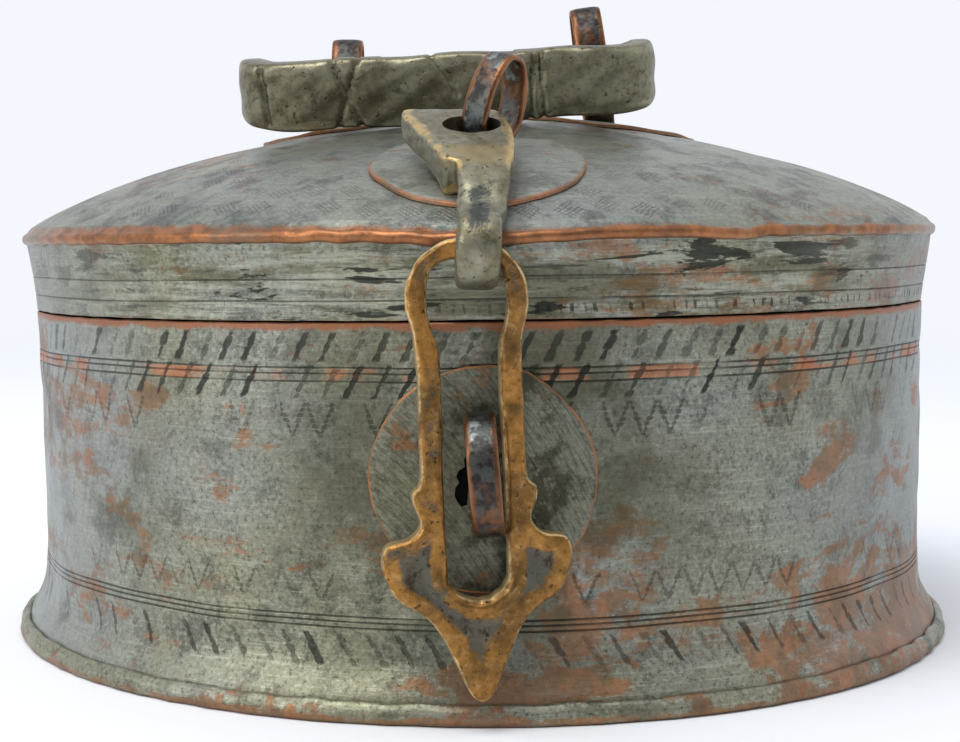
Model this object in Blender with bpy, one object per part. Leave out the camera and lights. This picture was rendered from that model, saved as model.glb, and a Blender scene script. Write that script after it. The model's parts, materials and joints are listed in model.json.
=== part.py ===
"""A round spice box: a tinned copper box with a domed, hinged lid, a brass bail handle, and a
brass hasp on a hook link that drops over a staple. Seven cups stand inside.

Metres, +Z up. The origin is the centre of the underside and the hasp faces -Y.
"""

import math

import bmesh
import bpy
from mathutils import Matrix, Vector
from mathutils.geometry import delaunay_2d_cdt

# Body, from the floor up
FOOT_R = 0.1100
FOOT_EDGE_R = 0.1093
LIP_R = 0.1083
LIP_Z = 0.0041
PAN_T = 0.0012
WAIST_R = 0.1034
WAIST_Z = 0.025
WALL_T = 0.0012
WALL_FOOT_Z = 0.0015
BOW_RISE = 0.0007
BOW_HEIGHT = 0.050
FLARE = 0.0040
FLARE_Z = 0.0030
FLARE_HEIGHT = 0.0056
SEAM_Z = 0.0750
SEAM_GAP = 0.00015
NECK_R = 0.1022
NECK_T = 0.0010
NECK_BOTTOM_Z = 0.0660
NECK_TOP_Z = 0.0830

# Lid
RIM_R = 0.1068
RIM_Z = 0.0915
RIM_BEAD_R = 0.0014
COLLAR_R = 0.1038
COLLAR_FLARE = 0.0024
COLLAR_POWER = 1.3
COLLAR_T = 0.0010
DOME_RISE = 0.0270
DOME_POWER = 1.6
DOME_FULLNESS = 0.72
DOME_T = 0.0010
DOME_EDGE_R = 0.1046

# Fits
GAP = 0.0004
ROUND_STEPS = 56

# Copper strap eyes and the washers under them
WASHER_R = 0.0215
WASHER_T = 0.0008
STRAP_T = 0.0014
STRAP_W = 0.0058
LEG_GAP = 0.0004
SPLAY = 0.0075

# Lid eye, link and hasp
LID_EYE = (0.0002, -0.0778)
LID_WASHER_Y = -0.0795
LID_EYE_HEIGHT = 0.0205
LID_EYE_HALF = 0.0073
LID_EYE_TURN = math.radians(-20)
LID_EYE_LEAN = math.radians(9)
LINK_PIVOT = (-0.0777, 0.1128)
HASP_PIVOT = (-0.1132, 0.0883)
HASP_T = 0.0040
HASP_BAR = 0.0024
HASP_EDGE = 0.0008
HASP_TURN = math.radians(8)
HASP_X = -0.0019
HASP_LEAN = math.radians(-1.3)
HOOK_R = 0.0052

# Body staple
STAPLE_X = 0.0004
STAPLE_Z = 0.0475
STAPLE_REACH = 0.0165
STAPLE_HALF = 0.0115
STAPLE_LEAN = math.radians(-3)
BODY_WASHER_Z = 0.0455

# Handle
HANDLE_AXIS_Z = 0.1319
HANDLE_TILT = math.radians(3)
HANDLE_DROP = math.radians(14)
HANDLE_X = -0.0065
HANDLE_EYE_X = 0.0302
HANDLE_EYE_W = 0.0072
HANDLE_EYE_HALF = 0.0068
LEFT_EYE_HEIGHT = 0.0205
RIGHT_EYE_HEIGHT = 0.0283
RIGHT_EYE_LEAN = math.radians(-5)

# Rear hinge
LEAF_T = 0.0012
LEAF_HALF = 0.0140
KNUCKLE_HALF = 0.0050
CURL_R = 0.0025
PIN_R = 0.0016
HINGE_Y = WAIST_R + BOW_RISE + GAP + LEAF_T / 2 + CURL_R
RIVET_R = 0.0011
RIVET_HEAD_R = 0.0023

# Cups
CUP_R = 0.0312
CUP_FOOT_R = 0.0265
CUP_HEIGHT = 0.0440
CUP_T = 0.0009
CUP_RING_R = 0.0660
CUP_STEPS = 20
OUTER_CUPS = 6


def clear_scene():
    for thing in list(bpy.data.objects):
        bpy.data.objects.remove(thing, do_unlink=True)


def material(name, colour, roughness, metallic):
    made = bpy.data.materials.new(name)
    made.use_nodes = True
    shader = made.node_tree.nodes["Principled BSDF"]
    shader.inputs["Base Color"].default_value = (*colour, 1.0)
    shader.inputs["Roughness"].default_value = roughness
    shader.inputs["Metallic"].default_value = metallic
    made.diffuse_color = (*colour, 1.0)
    return made


def finish_mesh(name, mesh, finish, place=None):
    """Turns a bmesh into a named object with its material, shaded smooth."""
    bmesh.ops.recalc_face_normals(mesh, faces=mesh.faces)
    data = bpy.data.meshes.new(name)
    mesh.to_mesh(data)
    mesh.free()
    data.shade_smooth()
    data.set_sharp_from_angle(angle=math.radians(35))
    data.materials.append(finish)
    made = bpy.data.objects.new(name, data)
    if place is not None:
        made.matrix_world = place
    bpy.context.scene.collection.objects.link(made)
    return made


def hide_helper(helper):
    helper.hide_render = True
    helper.display_type = "WIRE"
    return helper


def combine(target, helper, operation="DIFFERENCE"):
    change = target.modifiers.new(helper.name, "BOOLEAN")
    change.operation = operation
    change.object = hide_helper(helper)


def turned(name, profile, finish, closed=True, steps=ROUND_STEPS, place=None):
    """A profile of (radius, height) points turned about Z."""
    mesh = bmesh.new()
    points = [mesh.verts.new((radius, 0, height)) for radius, height in profile]
    edges = [mesh.edges.new(pair) for pair in zip(points, points[1:])]
    if closed:
        edges.append(mesh.edges.new((points[-1], points[0])))
    bmesh.ops.spin(
        mesh, geom=points + edges, axis=(0, 0, 1), cent=(0, 0, 0), angle=math.tau, steps=steps
    )
    bmesh.ops.remove_doubles(mesh, verts=mesh.verts, dist=1e-6)
    return finish_mesh(name, mesh, finish, place)


def lofted(name, rings, finish, place=None):
    """A solid through rings that have the same number of points, closed at both ends."""
    mesh = bmesh.new()
    rows = [[mesh.verts.new(point) for point in ring] for ring in rings]
    for row, following in zip(rows, rows[1:]):
        for i in range(len(row)):
            j = (i + 1) % len(row)
            mesh.faces.new((row[i], row[j], following[j], following[i]))
    mesh.faces.new(rows[0])
    mesh.faces.new(rows[-1])
    bmesh.ops.triangulate(mesh, faces=mesh.faces)
    return finish_mesh(name, mesh, finish, place)


def smooth_path(knots, spans):
    """Catmull-Rom points through knots of any length, all their values blended alike."""
    ends = [knots[0]] + list(knots) + [knots[-1]]
    found = []
    for before, start, end, after in zip(ends, ends[1:], ends[2:], ends[3:]):
        for step in range(spans):
            t = step / spans
            found.append(
                tuple(
                    0.5 * (2 * b + (c - a) * t + (2 * a - 5 * b + 4 * c - d) * t * t)
                    + 0.5 * (3 * b - a - 3 * c + d) * t**3
                    for a, b, c, d in zip(before, start, end, after)
                )
            )
    return found + [tuple(knots[-1])]


def arc(centre, radius, start, end, count):
    """Points on an arc, angles in degrees."""
    angles = [math.radians(start + (end - start) * i / (count - 1)) for i in range(count)]
    return [(centre[0] + radius * math.cos(a), centre[1] + radius * math.sin(a)) for a in angles]


def path_normals(path):
    """Unit normals, to the left of the way the path runs."""
    found = []
    for i in range(len(path)):
        ahead = path[min(i + 1, len(path) - 1)]
        behind = path[max(i - 1, 0)]
        along = Vector((ahead[0] - behind[0], ahead[1] - behind[1])).normalized()
        found.append((-along.y, along.x))
    return found


def box_solid(name, size, place):
    mesh = bmesh.new()
    bmesh.ops.create_cube(mesh, size=1.0)
    bmesh.ops.scale(mesh, vec=size, verts=mesh.verts)
    return finish_mesh(name, mesh, PLAIN, place)


def rod_solid(name, radius, length, place, steps=16):
    half = length / 2
    profile = [(0, half), (radius, half), (radius, -half), (0, -half)]
    return turned(name, profile, PLAIN, closed=False, steps=steps, place=place)


# Surfaces that the pieces share


def wall_r(z):
    """Outer radius of the body wall: a slight bow, and a flare that runs out over the foot."""
    bow = BOW_RISE * ((z - WAIST_Z) / BOW_HEIGHT) ** 2
    return WAIST_R + bow + FLARE * math.exp(-(((z - FLARE_Z) / FLARE_HEIGHT) ** 2))


def collar_r(z):
    """Outer radius of the lid's collar, which opens towards the rim."""
    rise = max(z - SEAM_Z, 0) / (RIM_Z - SEAM_Z)
    return COLLAR_R + COLLAR_FLARE * rise**COLLAR_POWER


def dome_z(radius):
    """Height of the lid's outer surface."""
    rest = max(1 - (radius / RIM_R) ** DOME_POWER, 0)
    return RIM_Z + DOME_RISE * rest**DOME_FULLNESS


# Body


def make_base_pan():
    """Floor pan whose edge is folded up over the foot of the wall."""
    profile = [
        (0, PAN_T),
        (FOOT_R - 0.0011, PAN_T),
        (FOOT_R - 0.0011, 0.0020),
        (FOOT_R - 0.0018, 0.0029),
        (LIP_R - 0.0002, LIP_Z - 0.0006),
        (LIP_R, LIP_Z),
        (FOOT_R - 0.0007, 0.0032),
        (FOOT_R - 0.0001, 0.0021),
        (FOOT_R, 0.0010),
        (FOOT_EDGE_R, 0),
        (0, 0),
    ]
    turned("base_pan", profile, COPPER, closed=False)


def make_body_wall():
    top = SEAM_Z - SEAM_GAP
    foot = [(0.1081, WALL_FOOT_Z), (0.1078, 0.0025), (0.1074, 0.0034)]
    heights = [0.0048, 0.0066, 0.0090, 0.0140, 0.0250, 0.0500]
    outer = foot + [(wall_r(z), z) for z in heights] + [(wall_r(top), top)]
    inner = [(radius - WALL_T, z) for radius, z in outer]
    wall = turned("body_wall", outer + inner[::-1], TIN)
    slot = Matrix.Translation((STAPLE_X - 0.0006, -WAIST_R, STAPLE_Z - 0.0010))
    combine(wall, box_solid("wall_slot", (0.0078, 0.0100, 0.0096), slot))
    for number, (x, z) in enumerate(body_rivet_places()):
        combine(wall, rivet_hole(f"wall_rivet_hole_{number}", x, WAIST_R, z))


def make_neck_ring():
    """Collar inside the wall, which the lid fits over."""
    top = NECK_TOP_Z
    profile = [
        (NECK_R, NECK_BOTTOM_Z),
        (NECK_R, top - 0.0010),
        (NECK_R - 0.0004, top),
        (NECK_R - NECK_T, top),
        (NECK_R - NECK_T, NECK_BOTTOM_Z),
    ]
    turned("neck_ring", profile, TIN)


def make_cup(name, x, y):
    """Thin cup with a rolled edge, standing on the floor pan."""
    foot = PAN_T + GAP
    top = foot + CUP_HEIGHT
    profile = [
        (0, foot + CUP_T),
        (CUP_FOOT_R - 0.0016, foot + CUP_T),
        (CUP_R - 0.0018, top - 0.0020),
        (CUP_R - 0.0012, top),
        (CUP_R, top - 0.0008),
        (CUP_R - 0.0009, top - 0.0022),
        (CUP_FOOT_R, foot + 0.0010),
        (CUP_FOOT_R - 0.0010, foot),
        (0, foot),
    ]
    turned(name, profile, TIN, closed=False, steps=CUP_STEPS, place=Matrix.Translation((x, y, 0)))


def make_cups():
    make_cup("spice_cup_centre", 0, 0)
    for number in range(OUTER_CUPS):
        angle = math.tau * (number + 0.5) / OUTER_CUPS
        make_cup(
            f"spice_cup_{number + 1}", CUP_RING_R * math.sin(angle), -CUP_RING_R * math.cos(angle)
        )


# Lid


def make_lid_collar():
    top = RIM_Z - 0.0009
    low = SEAM_Z + SEAM_GAP
    heights = [low, SEAM_Z + 0.0055, SEAM_Z + 0.0110, top]
    outer = [(collar_r(z), z) for z in heights]
    inner = [(radius - COLLAR_T, z) for radius, z in outer]
    collar = turned("lid_collar", outer + inner[::-1], TIN)
    for number, (x, z) in enumerate(lid_rivet_places()):
        combine(collar, rivet_hole(f"collar_rivet_hole_{number}", x, COLLAR_R, z))
    return collar


def make_lid_dome():
    """Dome whose edge is crimped over the top of the collar."""
    radii = [0.1020, 0.0970, 0.0880, 0.0760, 0.0600, 0.0400, 0.0200]
    outer = [(radius, dome_z(radius)) for radius in radii] + [(0, dome_z(0))]
    under = [(radius - 0.0004, dome_z(radius) - DOME_T) for radius in radii]
    bead_z = RIM_Z - 0.0001
    profile = (
        outer[::-1]
        + [
            (DOME_EDGE_R, dome_z(DOME_EDGE_R)),
            (RIM_R - 0.0006, bead_z + 0.0009),
            (RIM_R + 0.0001, bead_z),
            (RIM_R + 0.0002, bead_z - 0.0009),
            (RIM_R - 0.0003, bead_z - 0.0016),
            (RIM_R - 0.0005, bead_z - 0.0012),
            (RIM_R - 0.0005, bead_z - 0.0001),
            (RIM_R - 0.0022, bead_z + 0.0001),
        ]
        + under
        + [(0, dome_z(0) - DOME_T)]
    )
    return turned("lid_dome", profile, TIN, closed=False)


def draped_washer(name, centre_x, centre_y):
    """Round washer that follows the dome."""
    rings = 3
    steps = 28
    mesh = bmesh.new()
    layers = []
    for lift in (GAP + WASHER_T, GAP):
        rows = [[mesh.verts.new(on_dome(centre_x, centre_y, 0, 0, lift))]]
        for ring in range(1, rings + 1):
            radius = WASHER_R * ring / rings
            rows.append(
                [
                    mesh.verts.new(
                        on_dome(centre_x, centre_y, radius, math.tau * step / steps, lift)
                    )
                    for step in range(steps)
                ]
            )
        layers.append(rows)
    for rows in layers:
        for step in range(steps):
            after = (step + 1) % steps
            mesh.faces.new((rows[0][0], rows[1][step], rows[1][after]))
            for near, far in zip(rows[1:], rows[2:]):
                mesh.faces.new((near[step], far[step], far[after], near[after]))
    for step in range(steps):
        after = (step + 1) % steps
        top, low = layers[0][-1], layers[1][-1]
        mesh.faces.new((top[step], low[step], low[after], top[after]))
    return finish_mesh(name, mesh, TIN)


def on_dome(centre_x, centre_y, radius, angle, lift):
    x = centre_x + radius * math.cos(angle)
    y = centre_y + radius * math.sin(angle)
    return (x, y, dome_z(math.hypot(x, y)) + lift)


# Strap eyes


def eye_path(height, half, depth, slope):
    """Centre line of a strap folded into a loop, its two legs through a slot and splayed inside.

    The foot of the loop and its splayed ends follow a sheet that rises by the given slope.
    """
    leg = (STRAP_T + LEG_GAP) / 2
    side = [
        (leg + SPLAY, -depth),
        (leg + 0.0016, -depth),
        (leg + 0.0002, -depth + 0.0011),
        (leg, -depth + 0.0026),
        (leg + 0.0001, 0.0008),
        (0.48 * half, 0.0025),
        (0.86 * half, 0.0050),
        (half, 0.42 * height),
        (0.88 * half, 0.72 * height),
        (0.46 * half, 0.95 * height),
    ]
    knots = side + [(0, height)] + [(-u, v) for u, v in side[::-1]]
    knots = [(u, v + slope * u * (1 - min(max(v / height, 0), 1))) for u, v in knots]
    return smooth_path(knots, 2)


def strap_eye(name, height, half, depth, width, place, slope=0.0):
    path = eye_path(height - STRAP_T / 2, half - STRAP_T / 2, depth, slope)
    rings = []
    for (u, v), (side_u, side_v) in zip(path, path_normals(path)):
        rings.append(
            [
                Vector((side * width / 2, u + out * side_u, v + out * side_v))
                for side, out in (
                    (1, STRAP_T / 2),
                    (-1, STRAP_T / 2),
                    (-1, -STRAP_T / 2),
                    (1, -STRAP_T / 2),
                )
            ]
        )
    return lofted(name, rings, STRAP, place)


def strap_slot(name, width, length, place):
    return box_solid(name, (width, length, 0.0200), place)


def make_lid_hasp_eye(dome):
    x, y = LID_EYE
    surface = dome_z(math.hypot(x, y))
    place = (
        Matrix.Translation((x, y, surface + GAP + WASHER_T))
        @ Matrix.Rotation(LID_EYE_LEAN, 4, "Y")
        @ Matrix.Rotation(LID_EYE_TURN, 4, "Z")
    )
    washer = draped_washer("lid_hasp_washer", x, LID_WASHER_Y)
    for target in (dome, washer):
        slot = strap_slot(f"{target.name}_eye_slot", STRAP_W + 0.0010, 0.0046, place)
        combine(target, slot)
    rise = dome_z(math.hypot(x, y)) - dome_z(math.hypot(x, y) + 0.0010)
    slope = rise / 0.0010 * math.cos(LID_EYE_TURN)
    eye = strap_eye("lid_hasp_eye", LID_EYE_HEIGHT, LID_EYE_HALF, 0.0047, STRAP_W, place, slope)
    return [washer, eye]


def make_handle_eyes(dome):
    made = []
    for side, sign, height, lean in (
        ("left", -1, LEFT_EYE_HEIGHT, 0.0),
        ("right", 1, RIGHT_EYE_HEIGHT, RIGHT_EYE_LEAN),
    ):
        x = sign * HANDLE_EYE_X
        place = Matrix.Translation((x, 0, dome_z(abs(x)) + GAP + WASHER_T))
        place = place @ Matrix.Rotation(lean, 4, "Y")
        washer = draped_washer(f"handle_washer_{side}", x, 0)
        for target in (dome, washer):
            slot = strap_slot(f"{target.name}_slot_{side}", HANDLE_EYE_W + 0.0010, 0.0046, place)
            combine(target, slot)
        name = f"handle_eye_{side}"
        eye = strap_eye(name, height, HANDLE_EYE_HALF, 0.0046, HANDLE_EYE_W, place)
        made += [washer, eye]
    return made


def make_body_staple():
    """Washer bent to the wall, and the strap staple that the hasp's slot drops over."""
    inner = -(wall_r(BODY_WASHER_Z) + GAP)
    steps = 32
    rings = 3
    mesh = bmesh.new()
    layers = []
    for depth in (WASHER_T, 0):
        rows = []
        for ring in range(rings + 1):
            radius = WASHER_R * ring / rings
            count = steps if ring else 1
            row = []
            for step in range(count):
                x = radius * math.cos(math.tau * step / steps)
                z = BODY_WASHER_Z + radius * math.sin(math.tau * step / steps)
                bend = math.sqrt((inner - depth) ** 2 - x**2)
                lift = wall_r(z) - wall_r(BODY_WASHER_Z)
                row.append(mesh.verts.new((x, -bend - lift, z)))
            rows.append(row)
        layers.append(rows)
    for rows in layers:
        for step in range(steps):
            after = (step + 1) % steps
            mesh.faces.new((rows[0][0], rows[1][step], rows[1][after]))
            for near, far in zip(rows[1:], rows[2:]):
                mesh.faces.new((near[step], far[step], far[after], near[after]))
    for step in range(steps):
        after = (step + 1) % steps
        top, low = layers[0][-1], layers[1][-1]
        mesh.faces.new((top[step], low[step], low[after], top[after]))
    washer = finish_mesh("body_staple_washer", mesh, TIN)
    slot = Matrix.Translation((STAPLE_X - 0.0012, inner, STAPLE_Z - 0.0010))
    combine(washer, box_solid("washer_slot", (0.0090, 0.0100, 0.0100), slot))
    place = (
        Matrix.Translation((STAPLE_X, inner - WASHER_T, STAPLE_Z))
        @ Matrix.Rotation(STAPLE_LEAN, 4, "Y")
        @ Matrix.Rotation(math.radians(90), 4, "X")
    )
    strap_eye("body_staple", STAPLE_REACH, STAPLE_HALF, 0.0046, STRAP_W, place)


# Link and hasp


def oval(half_a, half_b, power, count):
    """Points of a rounded rectangle."""
    found = []
    for i in range(count):
        angle = math.tau * (i + 0.5) / count
        c, s = math.cos(angle), math.sin(angle)
        found.append(
            (
                half_a * math.copysign(abs(c) ** (2 / power), c),
                half_b * math.copysign(abs(s) ** (2 / power), s),
            )
        )
    return found


def make_link(pivot):
    """Cast link: a head with an oval hole for the lid eye, and a hook that carries the hasp."""
    stations = [
        # y, z, middle in x, half thickness, half width
        (-0.0757, 0.1138, -0.0050, 0.0017, 0.0055),
        (-0.0768, 0.1133, -0.0044, 0.0023, 0.0085),
        (-0.0795, 0.1120, -0.0036, 0.0025, 0.0104),
        (-0.0850, 0.1092, -0.0026, 0.0025, 0.0106),
        (-0.0915, 0.1060, -0.0012, 0.0024, 0.0092),
        (-0.0970, 0.1032, -0.0002, 0.0023, 0.0074),
        (-0.1012, 0.1006, 0.0004, 0.0023, 0.0056),
        (-0.1056, 0.0972, 0.0006, 0.0023, 0.0044),
        (-0.1098, 0.0949, 0.0005, 0.0021, 0.0040),
    ]
    y, z = HASP_PIVOT
    hook = [
        (along, up, 0.0, 0.0020, 0.0038)
        for along, up in arc((y, z), HOOK_R, 98, 262, 8)
    ]
    tip = [
        (*arc((y, z), HOOK_R, 285, 285, 2)[0], -0.0003, 0.0020, 0.0042),
        (*arc((y, z), HOOK_R - 0.0002, 308, 308, 2)[0], -0.0003, 0.0017, 0.0034),
        (*arc((y, z), HOOK_R - 0.0002, 318, 318, 2)[0], -0.0003, 0.0010, 0.0020),
    ]
    path = smooth_path(stations + hook + tip, 1)
    rings = []
    for (along, up, middle, thick, wide), (out_y, out_z) in zip(path, path_normals(path)):
        rings.append(
            [
                Vector((middle + a, along + b * out_y - pivot.y, up + b * out_z - pivot.z))
                for a, b in oval(wide, thick, 3.2, 12)
            ]
        )
    link = lofted("hasp_link", rings, BRASS, Matrix.Translation(pivot))
    slope = math.radians(-24)
    hole = turned(
        "link_hole",
        [(0, 0.010), (0.0050, 0.010), (0.0050, -0.010), (0, -0.010)],
        PLAIN,
        closed=False,
        steps=20,
        place=Matrix.Translation((-0.0016, -0.0846, 0.1094))
        @ Matrix.Rotation(-slope, 4, "X")
        @ Matrix.Diagonal((1.06, 1.08, 1, 1)),
    )
    combine(link, hole)
    return link


def hasp_outline():
    """Right half of the hasp's outline, from the top down: (x, drop below the top)."""
    crown = arc((0, 0.0112), 0.0112, -90, 22, 6)
    side = [
        (0.0097, 0.0185),
        (0.0095, 0.0260),
        (0.0096, 0.0420),
        (0.0112, 0.0452),
        (0.0113, 0.0474),
        (0.0101, 0.0512),
        (0.0120, 0.0538),
        (0.0160, 0.0548),
        (0.0171, 0.0565),
        (0.0171, 0.0600),
        (0.0150, 0.0648),
        (0.0098, 0.0682),
        (0.0067, 0.0722),
        (0.0048, 0.0768),
        (0.0026, 0.0818),
        (0.0014, 0.0838),
    ]
    return crown + side


def hasp_slot_outline():
    """Right half of the keyhole slot, from the top down."""
    crown = [
        (0.0072 * math.sin(a) ** (2 / 3), 0.0113 - 0.0075 * math.cos(a) ** (2 / 3))
        for a in (math.radians(angle) for angle in (0, 14, 30, 48, 66, 90))
    ]
    foot = arc((0, 0.0600), 0.0056, 0, 90, 5)
    return crown + [(0.0067, 0.0160), (0.0055, 0.0200), (0.0056, 0.0420)] + foot


def mirrored_loop(half):
    """A closed outline from its right half, whose ends lie on the middle line."""
    left = [(-x, drop) for x, drop in half[::-1] if x > 1e-6]
    return half + left


def moved_in(outline, distance):
    """The outline with every point moved inwards."""
    found = []
    for i, (x, drop) in enumerate(outline):
        before, after = outline[i - 1], outline[(i + 1) % len(outline)]
        along = Vector((after[0] - before[0], after[1] - before[1])).normalized()
        found.append((x - distance * along.y, drop + distance * along.x))
    return found


def holds(outline, x, y):
    """Is the point inside the outline?"""
    found = False
    for (x0, y0), (x1, y1) in zip(outline, outline[1:] + outline[:1]):
        if (y0 > y) != (y1 > y) and x < (x1 - x0) * (y - y0) / (y1 - y0) + x0:
            found = not found
    return found


def plate_triangles(outline, slot):
    """Triangles of a flat plate with a slot, as places in the two outlines' joined list."""
    points = outline + slot
    edges = []
    for start, count in ((0, len(outline)), (len(outline), len(slot))):
        edges += [(start + i, start + (i + 1) % count) for i in range(count)]
    made = delaunay_2d_cdt([Vector(point) for point in points], edges, [], 1, 1e-7)
    found = []
    for face in made[2]:
        x, y = (sum(made[0][i][axis] for i in face) / 3 for axis in (0, 1))
        if holds(outline, x, y) and not holds(slot, x, y):
            found.append([made[3][i][0] for i in face])
    return found


def slotted_plate(name, outline, slot, half, edge, finish, place):
    """A plate with a slot, its four edges chamfered, twisted once its faces are flat triangles."""
    stations = [(-half, edge), (edge - half, 0), (half - edge, 0), (half, edge)]
    mesh = bmesh.new()
    ends = ([], [])
    for loop, sign in ((outline, 1), (slot, -1)):
        rows = []
        for depth, distance in stations:
            ring = moved_in(loop, sign * distance)
            rows.append([mesh.verts.new(twisted(x, depth, drop)) for x, drop in ring])
        for row, following in zip(rows, rows[1:]):
            for i in range(len(row)):
                j = (i + 1) % len(row)
                mesh.faces.new((row[i], row[j], following[j], following[i]))
        ends[0].extend(rows[0])
        ends[1].extend(rows[-1])
    for triangle in plate_triangles(moved_in(outline, edge), moved_in(slot, -edge)):
        for end in ends:
            mesh.faces.new([end[i] for i in triangle])
    bmesh.ops.triangulate(mesh, faces=[face for face in mesh.faces if len(face.verts) > 3])
    return finish_mesh(name, mesh, finish, place)


def twisted(x, depth, drop):
    """The hasp is turned a little out of line below its crown."""
    share = min(max((drop - 0.0080) / 0.0120, 0), 1)
    turn = HASP_TURN * share
    return Vector(
        (x * math.cos(turn) - depth * math.sin(turn), x * math.sin(turn) + depth * math.cos(turn), -drop)
    )


def make_hasp(pivot):
    """Leaf-shaped hasp hung from the hook by the bar at the top of its keyhole slot."""
    outline = mirrored_loop([(0, 0)] + hasp_outline()[1:] + [(0, 0.0845)])
    slot = mirrored_loop(hasp_slot_outline())
    place = Matrix.Translation(pivot)
    hasp = slotted_plate("hasp", outline, slot, HASP_T / 2, HASP_EDGE, BRASS, place)
    hasp.data.transform(Matrix.Rotation(HASP_LEAN, 4, "Y") @ Matrix.Translation((HASP_X, 0, HASP_BAR)))
    return hasp


# Handle


def make_handle():
    """Bail: a broad bar, two arms, and two inward pins that turn in the eyes."""
    side = [
        # along the axis, out from the axis, half thickness, half height
        (0.0150, 0.0000, 0.0021, 0.0021),
        (0.0157, 0.0000, 0.0027, 0.0027),
        (0.0166, 0.0000, 0.0029, 0.0029),
        (0.0210, 0.0000, 0.0029, 0.0029),
        (0.0340, 0.0000, 0.0029, 0.0029),
        (0.0405, 0.0012, 0.0029, 0.0031),
        (0.0438, 0.0060, 0.0028, 0.0044),
        (0.0443, 0.0160, 0.0028, 0.0062),
        (0.0438, 0.0250, 0.0028, 0.0073),
        (0.0405, 0.0308, 0.0028, 0.0077),
        (0.0330, 0.0330, 0.0028, 0.0077),
        (0.0160, 0.0334, 0.0027, 0.0077),
    ]
    knots = side + [(0.0, 0.0334, 0.0027, 0.0077)]
    knots += [(-along, *others) for along, *others in side[::-1]]
    path = smooth_path(knots, 2)
    cos_drop, sin_drop = math.cos(HANDLE_DROP), math.sin(HANDLE_DROP)
    rings = []
    for (along, out, thick, high), (side_u, side_v) in zip(path, path_normals(path)):
        ring = []
        for a, b in oval(thick, high, 3.4, 12):
            reach = out + a * side_v
            x = HANDLE_X + along + a * side_u
            ring.append(
                Vector((x, -reach * cos_drop - b * sin_drop, b * cos_drop - reach * sin_drop))
            )
        rings.append(ring)
    place = Matrix.Translation((0, 0, HANDLE_AXIS_Z)) @ Matrix.Rotation(-HANDLE_TILT, 4, "Y")
    return lofted("handle", rings, BRASS, place)


# Rear hinge


def body_rivet_places():
    return [(-0.0090, SEAM_Z - 0.0130), (0.0090, SEAM_Z - 0.0130), (0.0, SEAM_Z - 0.0220)]


def lid_rivet_places():
    return [(-0.0090, SEAM_Z + 0.0092), (0.0090, SEAM_Z + 0.0092)]


def rivet_hole(name, x, y, z):
    place = Matrix.Translation((x, y, z)) @ Matrix.Rotation(math.radians(90), 4, "X")
    return rod_solid(name, RIVET_R + 0.0003, 0.0160, place, steps=12)


def leaf_solid(name, path, surface):
    """A strip bent along a path in the YZ plane, its flat part bowed to the round wall."""
    columns = 6
    rings = []
    for (y, z), (side_y, side_z) in zip(path, path_normals(path)):
        flat = min(max((abs(z - SEAM_Z) - 0.0032) / 0.0020, 0), 1)
        ring = []
        for face in (1, -1):
            for column in range(columns + 1):
                x = LEAF_HALF * (2 * column / columns - 1) * face
                bow = flat * (surface - math.sqrt(surface**2 - x**2))
                ring.append(
                    Vector(
                        (x, y - bow + face * LEAF_T / 2 * side_y, z + face * LEAF_T / 2 * side_z)
                    )
                )
        rings.append(ring)
    return lofted(name, rings, COPPER)


def make_hinge():
    inner_y = HINGE_Y - CURL_R
    low = SEAM_Z - 0.0270
    path = [(wall_r(low) + GAP + LEAF_T / 2, low), (inner_y, SEAM_Z - 0.0120)]
    path += [(inner_y, SEAM_Z - 0.0040), (inner_y, SEAM_Z - 0.0025)]
    path += arc((HINGE_Y, SEAM_Z), CURL_R, 180, -116, 17)
    body_leaf = leaf_solid("hinge_body_leaf", path, WAIST_R)
    notch = Matrix.Translation((0, HINGE_Y, SEAM_Z + 0.0020))
    size = (2 * KNUCKLE_HALF + 0.0006, 0.0120, 0.0116)
    combine(body_leaf, box_solid("body_leaf_notch", size, notch))

    high = SEAM_Z + 0.0132
    path = [(collar_r(z) + GAP + 0.0002 + LEAF_T / 2, z) for z in (high, SEAM_Z + 0.0085)]
    path += [(inner_y + 0.0003, SEAM_Z + 0.0052), (inner_y + 0.0001, SEAM_Z + 0.0025)]
    path += arc((HINGE_Y, SEAM_Z), CURL_R, 180, 476, 17)
    lid_leaf = leaf_solid("hinge_lid_leaf", path, COLLAR_R)
    for side in (-1, 1):
        middle = side * (KNUCKLE_HALF + 0.0100)
        notch = Matrix.Translation((middle, HINGE_Y, SEAM_Z - 0.0020))
        size = (0.0200, 0.0120, 0.0116)
        combine(lid_leaf, box_solid(f"lid_leaf_notch_{side + 1}", size, notch))

    for number, (x, z) in enumerate(body_rivet_places()):
        combine(body_leaf, rivet_hole(f"leaf_rivet_hole_{number}", x, WAIST_R, z))
        make_rivet(f"hinge_body_rivet_{number + 1}", x, z, wall_r(z), WALL_T)
    on_lid = [lid_leaf]
    for number, (x, z) in enumerate(lid_rivet_places()):
        combine(lid_leaf, rivet_hole(f"lid_leaf_rivet_hole_{number}", x, COLLAR_R, z))
        on_lid.append(make_rivet(f"hinge_lid_rivet_{number + 1}", x, z, collar_r(z), COLLAR_T))

    across = Matrix.Translation((0, HINGE_Y, SEAM_Z)) @ Matrix.Rotation(math.radians(90), 4, "Y")
    half = LEAF_HALF + 0.0008
    head = half + 0.0012
    profile = [
        (0, head),
        (PIN_R + 0.0006, head),
        (PIN_R + 0.0008, half),
        (PIN_R, half),
        (PIN_R, -half),
        (PIN_R + 0.0008, -half),
        (PIN_R + 0.0006, -head),
        (0, -head),
    ]
    turned("hinge_pin", profile, BRASS, closed=False, steps=16, place=across)
    return on_lid


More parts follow.
